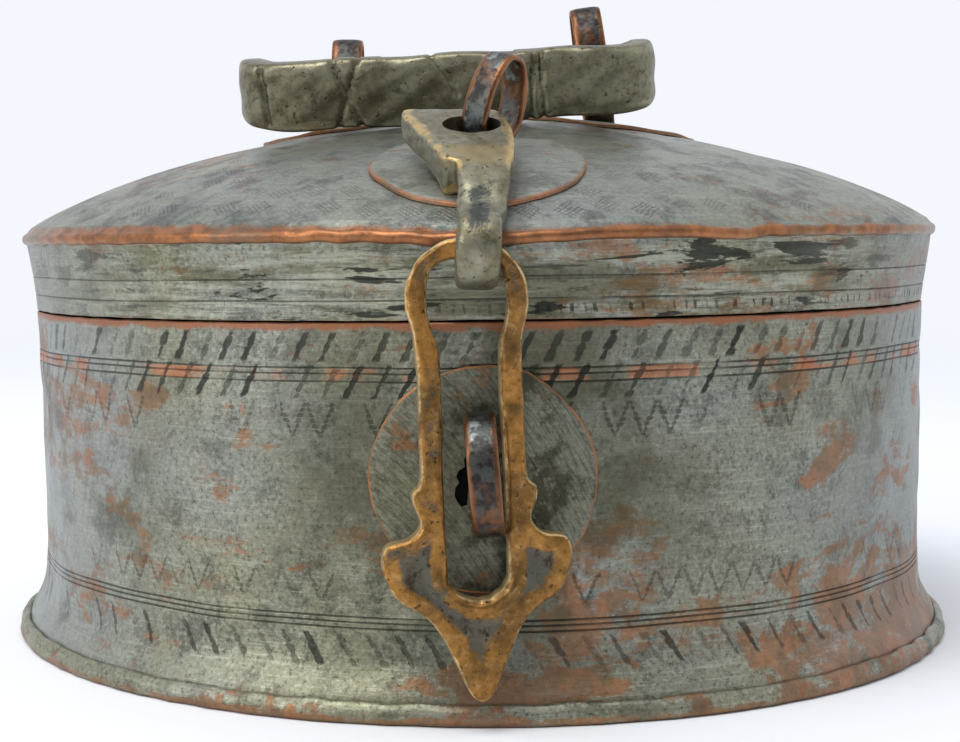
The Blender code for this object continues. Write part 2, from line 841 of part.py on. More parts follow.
def make_rivet(name, x, z, radius, sheet):
    """Rivet through leaf and sheet, with a domed head outside and a flat one inside."""
    outside = math.sqrt(radius**2 - x**2) + GAP + 0.0007 + LEAF_T
    inside = math.sqrt(radius**2 - x**2) - sheet
    place = Matrix.Translation((x, outside, z)) @ Matrix.Rotation(math.radians(-90), 4, "X")
    through = outside - inside + 0.0007
    profile = [
        (0, 0.0017),
        (0.0012, 0.0014),
        (0.0020, 0.0008),
        (RIVET_HEAD_R, 0.0003),
        (RIVET_R, 0.0003),
        (RIVET_R, -through),
        (RIVET_HEAD_R - 0.0003, -through),
        (RIVET_HEAD_R - 0.0006, -through - 0.0007),
        (0, -through - 0.0007),
    ]
    return turned(name, profile, COPPER, closed=False, steps=12, place=place)


def empty_at(name, place):
    empty = bpy.data.objects.new(name, None)
    empty.location = place
    bpy.context.scene.collection.objects.link(empty)
    return empty


def hang(parent, pieces):
    """Parents pieces to what they turn with, where they are."""
    for piece in pieces:
        piece.parent = parent
        piece.matrix_parent_inverse = parent.matrix_world.inverted()


clear_scene()
PLAIN = material("cutter", (0.5, 0.5, 0.5), 0.5, 0.0)
TIN = material("tinned_copper", (0.42, 0.43, 0.41), 0.48, 0.85)
COPPER = material("bare_copper", (0.50, 0.24, 0.13), 0.42, 0.95)
STRAP = material("copper_strap", (0.58, 0.33, 0.22), 0.32, 1.0)
BRASS = material("aged_brass", (0.48, 0.34, 0.15), 0.38, 0.9)

make_base_pan()
make_body_wall()
make_neck_ring()
make_cups()
make_body_staple()
DOME = make_lid_dome()
ON_LID = [DOME, make_lid_collar()]
ON_LID += make_lid_hasp_eye(DOME)
ON_LID += make_handle_eyes(DOME)
ON_LID += make_hinge()
HANDLE = make_handle()
LINK = make_link(Vector((0, *LINK_PIVOT)))
HASP = make_hasp(Vector((0, *HASP_PIVOT)))
LID = empty_at("lid_axis", (0, HINGE_Y, SEAM_Z))
bpy.context.view_layer.update()
hang(LID, ON_LID + [HANDLE, LINK])
hang(LINK, [HASP])
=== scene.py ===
"""Looks for the round spice box: worn tin over copper, punched bands, and cast brass hardware.

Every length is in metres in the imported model's frame: +Z up, the hasp on the -Y side.
"""

import json
import math

import bmesh
import bpy
import numpy as np
from mathutils import Matrix, Vector
from mathutils.geometry import delaunay_2d_cdt


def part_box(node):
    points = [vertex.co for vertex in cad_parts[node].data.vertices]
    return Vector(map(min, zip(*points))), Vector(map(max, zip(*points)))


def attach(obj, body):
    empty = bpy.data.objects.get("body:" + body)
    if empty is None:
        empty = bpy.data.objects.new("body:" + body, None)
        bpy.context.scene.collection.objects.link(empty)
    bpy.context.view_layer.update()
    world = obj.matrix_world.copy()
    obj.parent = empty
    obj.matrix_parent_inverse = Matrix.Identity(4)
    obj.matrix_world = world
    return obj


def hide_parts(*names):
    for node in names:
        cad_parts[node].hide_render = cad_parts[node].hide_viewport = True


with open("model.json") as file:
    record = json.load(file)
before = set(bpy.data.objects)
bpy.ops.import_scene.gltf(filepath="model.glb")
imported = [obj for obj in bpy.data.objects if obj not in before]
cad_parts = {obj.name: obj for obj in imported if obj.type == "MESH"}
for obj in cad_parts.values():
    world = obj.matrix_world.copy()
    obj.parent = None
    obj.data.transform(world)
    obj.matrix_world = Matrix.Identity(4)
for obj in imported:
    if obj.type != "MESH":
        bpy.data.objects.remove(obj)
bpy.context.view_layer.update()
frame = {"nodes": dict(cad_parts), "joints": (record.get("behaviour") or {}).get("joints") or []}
JOINTS = {joint["name"]: joint for joint in frame["joints"]}

# Driving dimensions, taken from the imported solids
FOOT_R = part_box("base_pan")[1].x
LIP_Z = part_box("base_pan")[1].z
SEAM_Z = (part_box("body_wall")[1].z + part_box("lid_collar")[0].z) / 2
RIM_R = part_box("lid_dome")[1].x - 0.0002
RIM_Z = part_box("lid_collar")[1].z + 0.0009
APEX_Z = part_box("lid_dome")[1].z
NECK_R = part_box("neck_ring")[1].x
NECK_Z = (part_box("neck_ring")[0].z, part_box("neck_ring")[1].z)
HASP_PIVOT = Vector(JOINTS["hasp_swing"]["pos_m"])
HANDLE_PIVOT = Vector(JOINTS["handle_bail"]["pos_m"])

SHEET_T = 0.0011
WAIST_R = 0.1034
COLLAR_R = 0.1038
COLLAR_FLARE = 0.0024
COLLAR_POWER = 1.3
DOME_POWER = 1.6
DOME_FULLNESS = 0.72
GAP = 0.0004
LID_T = 0.0010
STEPS = 720

# How far hand work has left the box out of true
TILT = 0.0125
LEAN = -0.0100

# Punched work on the wall and the lid
UPPER_LINES = (0.0663, 0.0652, 0.0637)
LOWER_LINES = (0.0189, 0.0179, 0.0168)
COLLAR_LINES = (0.0830, 0.0789)

# Straps, washers, hasp
WASHER_R = 0.0214
WASHER_T = 0.0008
STRAP_W = 0.0058
STRAP_T = 0.0016
HASP_T = 0.0040
HASP_BAR = 0.0024
HASP_X = -0.0034
HASP_LEAN = math.radians(-2.3)
HASP_TURN = math.radians(8)
HANDLE_TILT = math.radians(3)
HANDLE_DROP = math.radians(14)
HANDLE_X = -0.0083
EYE_SHIFT = -0.0020
HANDLE_EYE_X = 0.0302
LID_EYE = (0.0002, -0.0778)
LID_EYE_LEAN = math.radians(13)
LID_EYE_TURN = math.radians(31)
LID_DISC_Y = -0.0795
HOOK_R = 0.0054
HOOK_X = -0.0012
LINK_HOLE = (-0.0022, -0.0846, 0.1098)
LINK_HOLE_TILT = math.radians(24)
STAPLE_Z = 0.0455
STAPLE_LEAN = math.radians(-5)
TORN_SLOT = (-0.0041, 0.0450)

# Camera, level with the lid and looking a little down
CAMERA_PLACE = (-0.0006, -0.4354, 0.0908)
CAMERA_PITCH = math.radians(4.32)
CAMERA_LENS_MM = 67.35


def srgb(red, green, blue):
    """Linear colour from 0-255 display values."""
    channels = (value / 255 for value in (red, green, blue))
    return tuple(c / 12.92 if c <= 0.04045 else ((c + 0.055) / 1.055) ** 2.4 for c in channels)


# Node graphs written as arithmetic


class Value:
    """A socket that arithmetic turns into more nodes."""

    def __init__(self, graph, socket):
        self.graph = graph
        self.socket = socket

    def __add__(self, other):
        return self.graph.math("ADD", self, other)

    __radd__ = __add__

    def __sub__(self, other):
        return self.graph.math("SUBTRACT", self, other)

    def __rsub__(self, other):
        return self.graph.math("SUBTRACT", other, self)

    def __mul__(self, other):
        return self.graph.math("MULTIPLY", self, other)

    __rmul__ = __mul__

    def __truediv__(self, other):
        return self.graph.math("DIVIDE", self, other)

    def __abs__(self):
        return self.graph.math("ABSOLUTE", self)

    def call(self, operation, *others):
        return self.graph.math(operation, self, *others)

    def smooth(self, start, end):
        """0 before start, 1 after end, eased between; start may be the larger."""
        node = self.graph.add("ShaderNodeMapRange", interpolation_type="SMOOTHSTEP")
        for value, socket in zip((self, start, end), node.inputs):
            self.graph.join(value, socket)
        return Value(self.graph, node.outputs[0])


class Graph:
    """A material's node tree round one Principled BSDF."""

    def __init__(self, name):
        self.material = bpy.data.materials.new(name)
        self.material.use_nodes = True
        self.tree = self.material.node_tree
        self.shader = self.tree.nodes["Principled BSDF"]
        place = self.add("ShaderNodeTexCoord")
        self.place = Value(self, place.outputs["Object"])
        parts = self.add("ShaderNodeSeparateXYZ")
        self.join(self.place, parts.inputs[0])
        self.x, self.y, self.z = (Value(self, socket) for socket in parts.outputs)

    def add(self, kind, **settings):
        node = self.tree.nodes.new(kind)
        for key, value in settings.items():
            setattr(node, key, value)
        return node

    def join(self, value, socket):
        if isinstance(value, Value):
            self.tree.links.new(value.socket, socket)
        else:
            socket.default_value = value

    def math(self, operation, *values):
        node = self.add("ShaderNodeMath", operation=operation)
        for value, socket in zip(values, node.inputs):
            self.join(value, socket)
        return Value(self, node.outputs[0])

    def vector(self, x, y, z):
        node = self.add("ShaderNodeCombineXYZ")
        for value, socket in zip((x, y, z), node.inputs):
            self.join(value, socket)
        return Value(self, node.outputs[0])

    def noise(self, scale, detail=3.0, roughness=0.55, stretch=None, warp=0.0, place=None):
        """Noise from 0 to 1, features of about 1/scale metres, stretched by the given factors."""
        node = self.add("ShaderNodeTexNoise")
        place = place or self.place
        if stretch is not None:
            place = self.vector(self.x * stretch[0], self.y * stretch[1], self.z * stretch[2])
        for value, key in (
            (place, "Vector"),
            (scale, "Scale"),
            (detail, "Detail"),
            (roughness, "Roughness"),
            (warp, "Distortion"),
        ):
            self.join(value, node.inputs[key])
        return Value(self, node.outputs[0])

    def random(self, number, seed):
        node = self.add("ShaderNodeTexWhiteNoise", noise_dimensions="2D")
        self.join(self.vector(number, seed, 0.0), node.inputs["Vector"])
        return Value(self, node.outputs[0])

    def attribute(self, name):
        node = self.add("ShaderNodeAttribute", attribute_name=name)
        return Value(self, node.outputs["Fac"])

    def mix(self, share, first, second):
        node = self.add("ShaderNodeMix", data_type="RGBA", clamp_factor=True)
        self.join(share, node.inputs[0])
        for value, socket in ((first, node.inputs[6]), (second, node.inputs[7])):
            self.join(value if isinstance(value, Value) else (*value, 1.0), socket)
        return Value(self, node.outputs[2])

    def finish(self, colour, roughness, metallic, height, specular=0.5):
        """Joins the surface to the shader; height is in metres."""
        bump = self.add("ShaderNodeBump")
        bump.inputs["Strength"].default_value = 1.0
        bump.inputs["Distance"].default_value = 1.0
        self.join(height, bump.inputs["Height"])
        self.join(colour, self.shader.inputs["Base Color"])
        self.join(roughness, self.shader.inputs["Roughness"])
        self.join(metallic, self.shader.inputs["Metallic"])
        self.shader.inputs["Specular IOR Level"].default_value = specular
        self.tree.links.new(bump.outputs[0], self.shader.inputs["Normal"])
        return self.material


# Palette

TIN_GREEN = srgb(136, 135, 112)
TIN_BLUE = srgb(138, 141, 134)
TIN_PALE = srgb(184, 186, 168)
TIN_DARK = srgb(78, 79, 66)
STAIN = srgb(36, 38, 34)
OLIVE = srgb(92, 86, 50)
COPPER = srgb(168, 108, 66)
COPPER_DULL = srgb(132, 96, 66)


def tin_base(g):
    """Worn tin: colour, height and the blotches that other layers reuse."""
    cloud = g.noise(15, 5, 0.62)
    mottle = g.noise(120, 6, 0.74)
    grit = g.noise(1100, 4, 0.78)
    brush = g.noise(1.0, 5, 0.74, stretch=(70, 70, 1900))
    colour = g.mix(cloud.smooth(0.38, 0.64), TIN_GREEN, TIN_BLUE)
    colour = g.mix(brush.smooth(0.50, 0.68) * 0.50, colour, TIN_PALE)
    colour = g.mix(mottle.smooth(0.47, 0.66) * 0.62, colour, TIN_DARK)
    colour = g.mix(grit.smooth(0.48, 0.36) * 0.45, colour, TIN_PALE)
    colour = g.mix(grit.smooth(0.53, 0.66) * 0.62, colour, STAIN)
    height = grit * 0.00005 + brush * 0.00006 - mottle.smooth(0.5, 0.66) * 0.00006
    return colour, height, mottle


def copper_wear(g, colour, amount, grain):
    """Lets copper show where amount, from 0 to 1, says that the tin has worn through."""
    ragged = g.noise(1.0, 4, 0.75, stretch=(190, 190, 520))
    edge = amount + (grain - 0.5) * 0.9 + (ragged - 0.5) * 1.1
    share = edge.smooth(0.36, 0.66)
    tone = g.mix(g.noise(210, 4, 0.7).smooth(0.38, 0.68), COPPER_DULL, COPPER)
    return g.mix(share * 0.70, colour, tone), share


def angle_round(g):
    """Angle round the box, 0 at the front, growing towards +X."""
    return g.math("ARCTAN2", g.x, g.y * -1.0)


def punch_row(g, turn, count, low, high, slant, dots, size, seed):
    """Slanted strokes of a few oval punches that often run together; slant is in cells per metre."""
    pitch = math.tau * WAIST_R / count
    step = (high - low) / dots
    cell = turn * (count / math.tau) + (g.z - (low + high) / 2) * slant
    number = cell.call("FLOOR")
    chance = g.random(number, seed)
    rough = g.noise(520, 3, 0.6) - 0.5
    across = (cell - number - 0.5 + (chance - 0.5) * 0.30) * pitch + rough * 0.0014
    rise = (g.z - low) / step + (g.random(number, seed + 7.0) - 0.5) * 0.8
    level = rise.call("FLOOR")
    force = g.random(number * 3.0 + level * 17.0, seed + 3.0)
    reach = (force * 0.75 + 0.55) * size
    tall = (chance * 0.34 + 0.34 + force * 0.22) * step
    wide = across / reach
    long = (rise - level - 0.5) * step / tall
    oval = (wide * wide + long * long).call("SQRT").smooth(1.15, 0.72)
    within = g.z.smooth(low - 0.0002, low + 0.0006) * g.z.smooth(high + 0.0002, high - 0.0006)
    return oval * within * (chance * 0.9 + 0.25).call("MINIMUM", 1.0)


def zigzag_row(g, turn, count, low, high, size, seed):
    """Punched dots that run down and up between two heights."""
    cell = turn * (count / math.tau)
    number = cell.call("FLOOR")
    chance = g.random(number, seed)
    wave = abs(cell - number - 0.5 + (chance - 0.5) * 0.15) * 2.0
    height = (g.z - low) / (high - low)
    steep = (high - low) / (math.pi * WAIST_R / count)
    rough = (g.noise(420, 3, 0.6) - 0.5) * 0.0012
    across = (height - wave) * ((high - low) / math.sqrt(1 + steep * steep)) + rough
    rise = g.z / 0.00105
    level = rise.call("FLOOR")
    force = g.random(number * 5.0 + level * 3.0, seed + 2.0)
    wide = across / ((force * 0.8 + 0.5) * size)
    long = (rise - level - 0.5) / 0.52
    dots = (wide * wide + long * long).call("SQRT").smooth(1.15, 0.65)
    within = height.smooth(-0.03, 0.06) * height.smooth(1.03, 0.94)
    return dots * within * chance.smooth(0.25, 0.75)


def scribed(g, turn, heights, width, seed):
    """Fine lines round the box that wander and fade a little."""
    wander = (turn * 3.0 + seed).call("SINE") * 0.00018 + (turn * 11.0 + seed).call("SINE") * 0.00007
    depth = None
    for height in heights:
        line = (abs(g.z - height + wander) / width).smooth(1.3, 0.5)
        depth = line if depth is None else depth.call("MAXIMUM", line)
    return depth * (g.noise(60, 2, 0.5).smooth(0.30, 0.52) * 0.7 + 0.3)


def out_of_true(g):
    """Height with the wall's tilt taken out, so that bands follow the wall."""
    g.z = g.z / (g.x * (TILT / SEAM_Z) + 1.0)


def wall_material():
    g = Graph("worn_tin_wall")
    out_of_true(g)
    turn = angle_round(g)
    colour, height, grain = tin_base(g)

    # Painted reflection: the wall turns paler blue-grey towards its left and right sides.
    side = abs(g.x).smooth(0.055, 0.100)
    colour = g.mix(side * 0.58, colour, srgb(160, 166, 170))
    smear = g.noise(1.0, 5, 0.66, stretch=(17, 17, 48), warp=0.4)
    flame = g.noise(30, 5, 0.62, warp=0.9)
    band = (abs(g.z - 0.0640) / 0.0090).smooth(1.0, 0.4)
    foot = g.z.smooth(0.012, 0.004)
    right = g.x.smooth(-0.01, 0.05)
    worn = smear.smooth(0.44, 0.60) * 0.50 + flame.smooth(0.49, 0.61) * (right * 0.28 + 0.20)
    worn = worn + band * 0.10 + foot * 0.16
    colour, bare = copper_wear(g, colour, worn, grain)

    spot_z = g.z - STAPLE_Z
    near = (g.x * g.x + spot_z * spot_z).call("SQRT") + g.y.smooth(-0.05, 0.0)
    murk = g.noise(46, 5, 0.7)
    halo = near.smooth(0.050, 0.024) * murk.smooth(0.34, 0.56)
    colour = g.mix(halo * 0.62, colour, srgb(62, 62, 44))
    colour = g.mix(murk.smooth(0.55, 0.68) * 0.55, colour, TIN_DARK)
    colour = g.mix(g.noise(11, 4, 0.6).smooth(0.50, 0.66) * 0.30, colour, OLIVE)

    # Painted shade: near-black on the wall inside the torn slot beside the staple.
    slot_x, slot_z = TORN_SLOT
    hole = abs(g.x - slot_x).smooth(0.0024, 0.0018) * abs(g.z - slot_z).smooth(0.0066, 0.0058)
    colour = g.mix(hole * g.y.smooth(-0.05, -0.06), colour, srgb(8, 8, 8))

    fray = g.noise(150, 4, 0.65) * 0.0030
    top = (g.z + fray).smooth(SEAM_Z - 0.0004, SEAM_Z + 0.0006)
    colour = g.mix(top * 0.80, colour, g.mix(g.noise(120, 4), srgb(128, 82, 56), srgb(178, 106, 68)))

    marks = None
    for row in (
        punch_row(g, turn, 122, 0.0672, 0.0732, -92, 2.3, 0.00080, 1.0),
        punch_row(g, turn, 122, 0.0602, 0.0670, -100, 3.4, 0.00066, 2.0),
        zigzag_row(g, turn, 116, 0.0530, 0.0598, 0.00056, 3.0) * 0.6,
        zigzag_row(g, turn, 116, 0.0216, 0.0276, 0.00048, 4.0) * 0.5,
        punch_row(g, turn, 112, 0.0094, 0.0158, 105, 3.2, 0.00072, 5.0) * 0.85,
    ):
        marks = row if marks is None else marks.call("MAXIMUM", row)
    fade = abs(g.x).smooth(0.110, 0.050) * 0.55 + 0.45
    marks = marks * fade
    lines = scribed(g, turn, UPPER_LINES + LOWER_LINES, 0.00017, 1.0)
    high, low = UPPER_LINES[0], UPPER_LINES[2]
    between = g.z.smooth(low, low + 0.0002) * g.z.smooth(high, high - 0.0002)
    filled = between * g.noise(75, 3, 0.6).smooth(0.46, 0.56)
    colour = g.mix(filled * 0.62, colour, srgb(184, 116, 78))
    cuts = marks.call("MAXIMUM", lines * 0.75)
    colour = g.mix(cuts * 0.88, colour, STAIN)
    height = height - marks * 0.00022 - lines * 0.00012 - bare * 0.00004
    roughness = grain * 0.25 + 0.34 + cuts * 0.15
    return g.finish(colour, roughness, 0.84, height)


def collar_material():
    g = Graph("worn_tin_collar")
    turn = angle_round(g)
    colour, height, grain = tin_base(g)
    out_of_true(g)
    front = abs(g.x).smooth(0.095, 0.055)
    streaks = g.noise(1.0, 6, 0.78, stretch=(22, 22, 420))
    colour = g.mix(streaks.smooth(0.46, 0.60) * (front * 0.42 + 0.08), colour, srgb(184, 186, 166))
    worn = g.noise(1.0, 5, 0.66, stretch=(26, 26, 80)).smooth(0.45, 0.60) * 0.46
    colour = copper_wear(g, colour, worn + g.x.smooth(0.01, 0.07) * 0.26, grain)[0]
    olive = g.noise(1.0, 5, 0.7, stretch=(34, 34, 170)).smooth(0.49, 0.60)
    colour = g.mix(olive * 0.62 * (front * 0.6 + 0.4), colour, srgb(84, 80, 46))
    thin = g.noise(1.0, 5, 0.75, stretch=(60, 60, 700)).smooth(0.55, 0.66)
    colour = g.mix(thin * 0.60, colour, STAIN)
    # Painted reflection: paler blue-grey towards the collar's left and right sides.
    colour = g.mix(abs(g.x).smooth(0.060, 0.104) * 0.50, colour, srgb(154, 158, 160))
    black = g.noise(1.0, 5, 0.62, stretch=(40, 40, 190), warp=0.5).smooth(0.575, 0.605)
    colour = g.mix(black * 0.90 * (front * 0.7 + 0.3), colour, srgb(40, 42, 36))
    lines = scribed(g, turn, COLLAR_LINES, 0.00015, 4.0)
    ticks = punch_row(g, turn, 290, 0.0763, 0.0783, 60, 1.0, 0.00036, 9.0)
    ticks = ticks * (turn + 0.25).smooth(0.0, 0.3)
    cuts = (lines * 0.75).call("MAXIMUM", ticks * 0.9)
    colour = g.mix(cuts * 0.85, colour, STAIN)
    edge = (g.z + g.noise(200, 2) * 0.0008).smooth(SEAM_Z + 0.0009, SEAM_Z + 0.0005)
    colour = g.mix(edge * 0.6, colour, COPPER_DULL)
    height = height - cuts * 0.00014 - black * 0.00007 + streaks * 0.00010 - thin * 0.00005
    return g.finish(colour, grain * 0.25 + 0.38, 0.80, height)


def rosette_row(g, turn, radius, count, size, row_r, seed):
    """Small diamonds of crosshatching stamped round the dome at one radius."""
    cell = turn * (count / math.tau) + seed * 0.37
    number = cell.call("FLOOR")
    chance = g.random(number, seed)
    rough = g.noise(300, 2, 0.6) - 0.5
    u = (cell - number - 0.5 + (chance - 0.5) * 0.3) * (math.tau * row_r / count) + rough * 0.0012
    v = radius - row_r + (g.random(number, seed + 3.0) - 0.5) * 0.0022 + rough * 0.0010
    diamond = ((abs(u) * 0.8 + abs(v)) / size).smooth(1.15, 0.75)
    first = ((u * 0.8 + v) * (math.tau / 0.0010)).call("COSINE").smooth(0.0, 0.8)
    second = ((u * 0.8 - v) * (math.tau / 0.0010)).call("COSINE").smooth(0.0, 0.8)
    return diamond * first.call("MAXIMUM", second) * (chance * 0.9 + 0.1)


def dome_material():
    g = Graph("worn_tin_dome")
    turn = angle_round(g)
    colour, height, grain = tin_base(g)
    radius = (g.x * g.x + g.y * g.y).call("SQRT")
    colour = g.mix(0.42, colour, srgb(138, 144, 142))
    blush = g.noise(24, 5, 0.68, warp=0.5).smooth(0.44, 0.64)
    inner = radius.smooth(0.104, 0.070) * 0.20 + g.x.smooth(0.0, 0.06) * 0.14
    colour = copper_wear(g, colour, blush * (inner + 0.30) + 0.04, grain)[0]
    smoke = g.noise(60, 6, 0.74).smooth(0.47, 0.64)
    colour = g.mix(smoke * 0.66, colour, srgb(74, 78, 76))
    marks = None
    for row in range(5):
        row_r = 0.1010 - 0.0066 * row
        strength = 1.0 if row < 1 else 0.72
        found = rosette_row(g, turn, radius, 84 - 6 * row, 0.0027, row_r, 1.0 + row) * strength
        marks = found if marks is None else marks.call("MAXIMUM", found)
    colour = g.mix(marks * 0.62, colour, srgb(62, 64, 60))
    fray = g.noise(110, 5, 0.7) * 0.0034
    rim = (radius + fray).smooth(RIM_R + 0.0002, RIM_R + 0.0012)
    bright = g.mix(g.noise(260, 4, 0.65).smooth(0.35, 0.65), srgb(126, 80, 48), srgb(172, 112, 68))
    bright = g.mix(g.noise(50, 4, 0.65).smooth(0.52, 0.64) * 0.7, bright, srgb(116, 92, 72))
    # Painted reflection: the bead's copper turns grey-brown towards the left and right sides.
    bright = g.mix(abs(g.x).smooth(0.080, 0.104) * 0.65, bright, srgb(134, 124, 112))
    colour = g.mix(rim * 0.93, colour, bright)
    height = height - marks * 0.00012 + g.noise(150, 3) * 0.00016
    roughness = grain * 0.22 + 0.30 - rim * 0.04
    return g.finish(colour, roughness, 0.85, height)


def foot_material():
    g = Graph("worn_copper_foot")
    colour, height, grain = tin_base(g)
    low = (g.z + g.noise(60, 4, 0.65) * 0.0022).smooth(0.0034, 0.0020)
    worn = low * 0.52 + g.noise(30, 5, 0.65).smooth(0.46, 0.62) * 0.56 + 0.06
    colour, bare = copper_wear(g, colour, worn, grain)
    colour = g.mix(g.noise(50, 4, 0.6).smooth(0.53, 0.68) * 0.55, colour, TIN_DARK)
    return g.finish(colour, grain * 0.25 + 0.32, 0.86, height - bare * 0.00004)


def inside_material():
    g = Graph("plain_tin_inside")
    cloud = g.noise(30, 4, 0.6)
    brush = g.noise(1.0, 3, 0.6, stretch=(30, 30, 900))
    colour = g.mix(cloud.smooth(0.3, 0.7), srgb(168, 168, 160), srgb(136, 137, 130))
    colour = g.mix(g.noise(500, 3, 0.6).smooth(0.6, 0.75) * 0.5, colour, TIN_DARK)
    # Painted shade: a near-black band round the seam height, standing for the shade in the gap between lid
    # and wall; rougher there too.
    seam_shade = abs(g.z - SEAM_Z).smooth(0.0024, 0.0016)
    colour = g.mix(seam_shade * 0.95, colour, srgb(16, 16, 14))
    return g.finish(colour, cloud * 0.2 + seam_shade * 0.4 + 0.30, 0.9, brush * 0.00003)


def washer_material(name, tone, shade, turned_by, grime):
    """Thin tinned disc with curved brush marks, its edge showing copper."""
    g = Graph(name)
    colour, height, grain = tin_base(g)
    colour = g.mix(0.50, colour, tone)
    across = g.x - 0.0004
    along = g.z + g.y
    u = across * math.cos(turned_by) + along * math.sin(turned_by)
    v = along * math.cos(turned_by) - across * math.sin(turned_by) + u * u * 5.0
    brush = g.noise(1.0, 5, 0.8, place=g.vector(u * 220.0, v * 1500.0, 0.0))
    colour = g.mix(brush.smooth(0.48, 0.62) * 0.55, colour, shade)
    colour = g.mix(brush.smooth(0.46, 0.36) * 0.20, colour, TIN_PALE)
    worn = g.noise(60, 5, 0.65).smooth(0.54, 0.70) * 0.55
    colour = copper_wear(g, colour, worn, grain)[0]
    dirt = g.noise(90, 5, 0.7).smooth(0.52, 0.62)
    colour = g.mix(dirt * grime, colour, srgb(48, 46, 30))
    edge = (g.attribute("edge") + (g.noise(300, 3) - 0.5) * 0.020).smooth(0.976, 0.988)
    colour = g.mix(edge * 0.80, colour, g.mix(g.noise(200, 3).smooth(0.4, 0.6), COPPER_DULL, COPPER))
    return g.finish(colour, grain * 0.25 + 0.36, 0.82, height + brush * 0.00007)


def strap_material():
    """Copper strap: bright worn edges, soot and old tin down its middle."""
    g = Graph("copper_strap")
    across = abs(g.attribute("across"))
    ragged = (g.noise(240, 5, 0.7) - 0.5) * 1.1
    core = (across + ragged).smooth(0.82, 0.58) * g.noise(60, 4, 0.65).smooth(0.32, 0.46)
    colour = g.mix(g.noise(110, 4, 0.65).smooth(0.35, 0.65), srgb(88, 62, 46), srgb(134, 90, 60))
    dark = g.mix(g.noise(420, 4, 0.7).smooth(0.4, 0.6), srgb(38, 42, 44), srgb(74, 80, 78))
    colour = g.mix(core * 0.93, colour, dark)
    flash = g.noise(120, 4, 0.65).smooth(0.56, 0.66) * core
    colour = g.mix(flash * 0.70, colour, srgb(164, 172, 172))
    colour = g.mix(across.smooth(0.84, 1.0) * 0.40, colour, srgb(170, 120, 84))
    colour = g.mix(g.noise(900, 3, 0.6).smooth(0.58, 0.70) * 0.5, colour, srgb(40, 30, 26))
    height = g.noise(500, 4, 0.7) * 0.00008 - core * 0.00006
    return g.finish(colour, g.noise(300, 2) * 0.2 + 0.22 + core * 0.12, 0.90, height)


def brass_material(name, body, deep, dark, dark_share, pale, patch_scale, rub, sunk):
    """Cast brass: dark in the hollows, rubbed bright along the edges."""
    g = Graph(name)
    wear = g.attribute("wear")
    hollow = g.attribute("hollow")
    blotch = g.noise(patch_scale, 6, 0.7, warp=0.5)
    fine = g.noise(620, 5, 0.75)
    colour = g.mix(g.noise(80, 5, 0.68).smooth(0.38, 0.62), body, deep)
    colour = g.mix(fine.smooth(0.50, 0.66) * 0.55, colour, srgb(66, 56, 38))
    colour = g.mix(fine.smooth(0.46, 0.36) * 0.16, colour, pale)
    golden = g.attribute("gold") + (g.noise(160, 4, 0.7) - 0.5) * 1.2
    colour = g.mix(golden.smooth(0.40, 1.20) * 0.50, colour, srgb(178, 152, 98))
    soot = (blotch - wear * 0.10 + hollow * sunk).smooth(dark_share, dark_share + 0.13)
    shade = g.mix(g.noise(260, 5, 0.75).smooth(0.46, 0.66), dark, srgb(40, 44, 44))
    colour = g.mix(soot * 0.88, colour, shade)
    rubbed = (wear + (g.noise(190, 5, 0.7) - 0.5) * 1.1).smooth(0.80, 1.04)
    colour = g.mix(rubbed * rub, colour, pale)
    pits = g.noise(850, 3, 0.55).smooth(0.62, 0.70)
    colour = g.mix(pits * 0.7, colour, srgb(32, 28, 22))
    height = fine * 0.00007 + g.noise(130, 4) * 0.00022 - soot * 0.00008 - pits * 0.00010
    return g.finish(colour, fine * 0.22 + 0.28 + soot * 0.12, 0.86, height)


def hinge_material(name, first, second):
    g = Graph(name)
    grain = g.noise(420, 4, 0.7)
    colour = g.mix(g.noise(60, 4, 0.6).smooth(0.35, 0.65), first, second)
    colour = g.mix(grain.smooth(0.55, 0.72) * 0.6, colour, TIN_DARK)
    return g.finish(colour, grain * 0.2 + 0.36, 0.88, grain * 0.00008)


# Meshes


def outward_mesh(name, points, faces):
    """A mesh whose faces all point out."""
    data = bpy.data.meshes.new(name)
    data.from_pydata([tuple(p) for p in points], [], faces)
    shell = bmesh.new()
    shell.from_mesh(data)
    bmesh.ops.recalc_face_normals(shell, faces=shell.faces)
    shell.to_mesh(data)
    shell.free()
    return data


def make_piece(name, points, faces, material, body, nodes, marks=None, sharp=50):
    """A mesh piece in the row frame that rides on a body and stands for CAD nodes."""
    data = outward_mesh(name, points, faces)
    data.shade_smooth()
    data.set_sharp_from_angle(angle=math.radians(sharp))
    for key, values in (marks or {}).items():
        layer = data.attributes.new(key, "FLOAT", "POINT")
        layer.data.foreach_set("value", np.asarray(values, np.float32).ravel())
    data.materials.append(material)
    piece = bpy.data.objects.new(name, data)
    bpy.context.scene.collection.objects.link(piece)
    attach(piece, body)
    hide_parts(*nodes)
    return piece


def grid_faces(rows, columns, wrap_rows=False):
    """Quads of a grid whose columns wrap round."""
    faces = []
    for i in range(rows if wrap_rows else rows - 1):
        here, there = i * columns, (i + 1) % rows * columns
        for j in range(columns):
            k = (j + 1) % columns
            faces.append((here + j, here + k, there + k, there + j))
    return faces


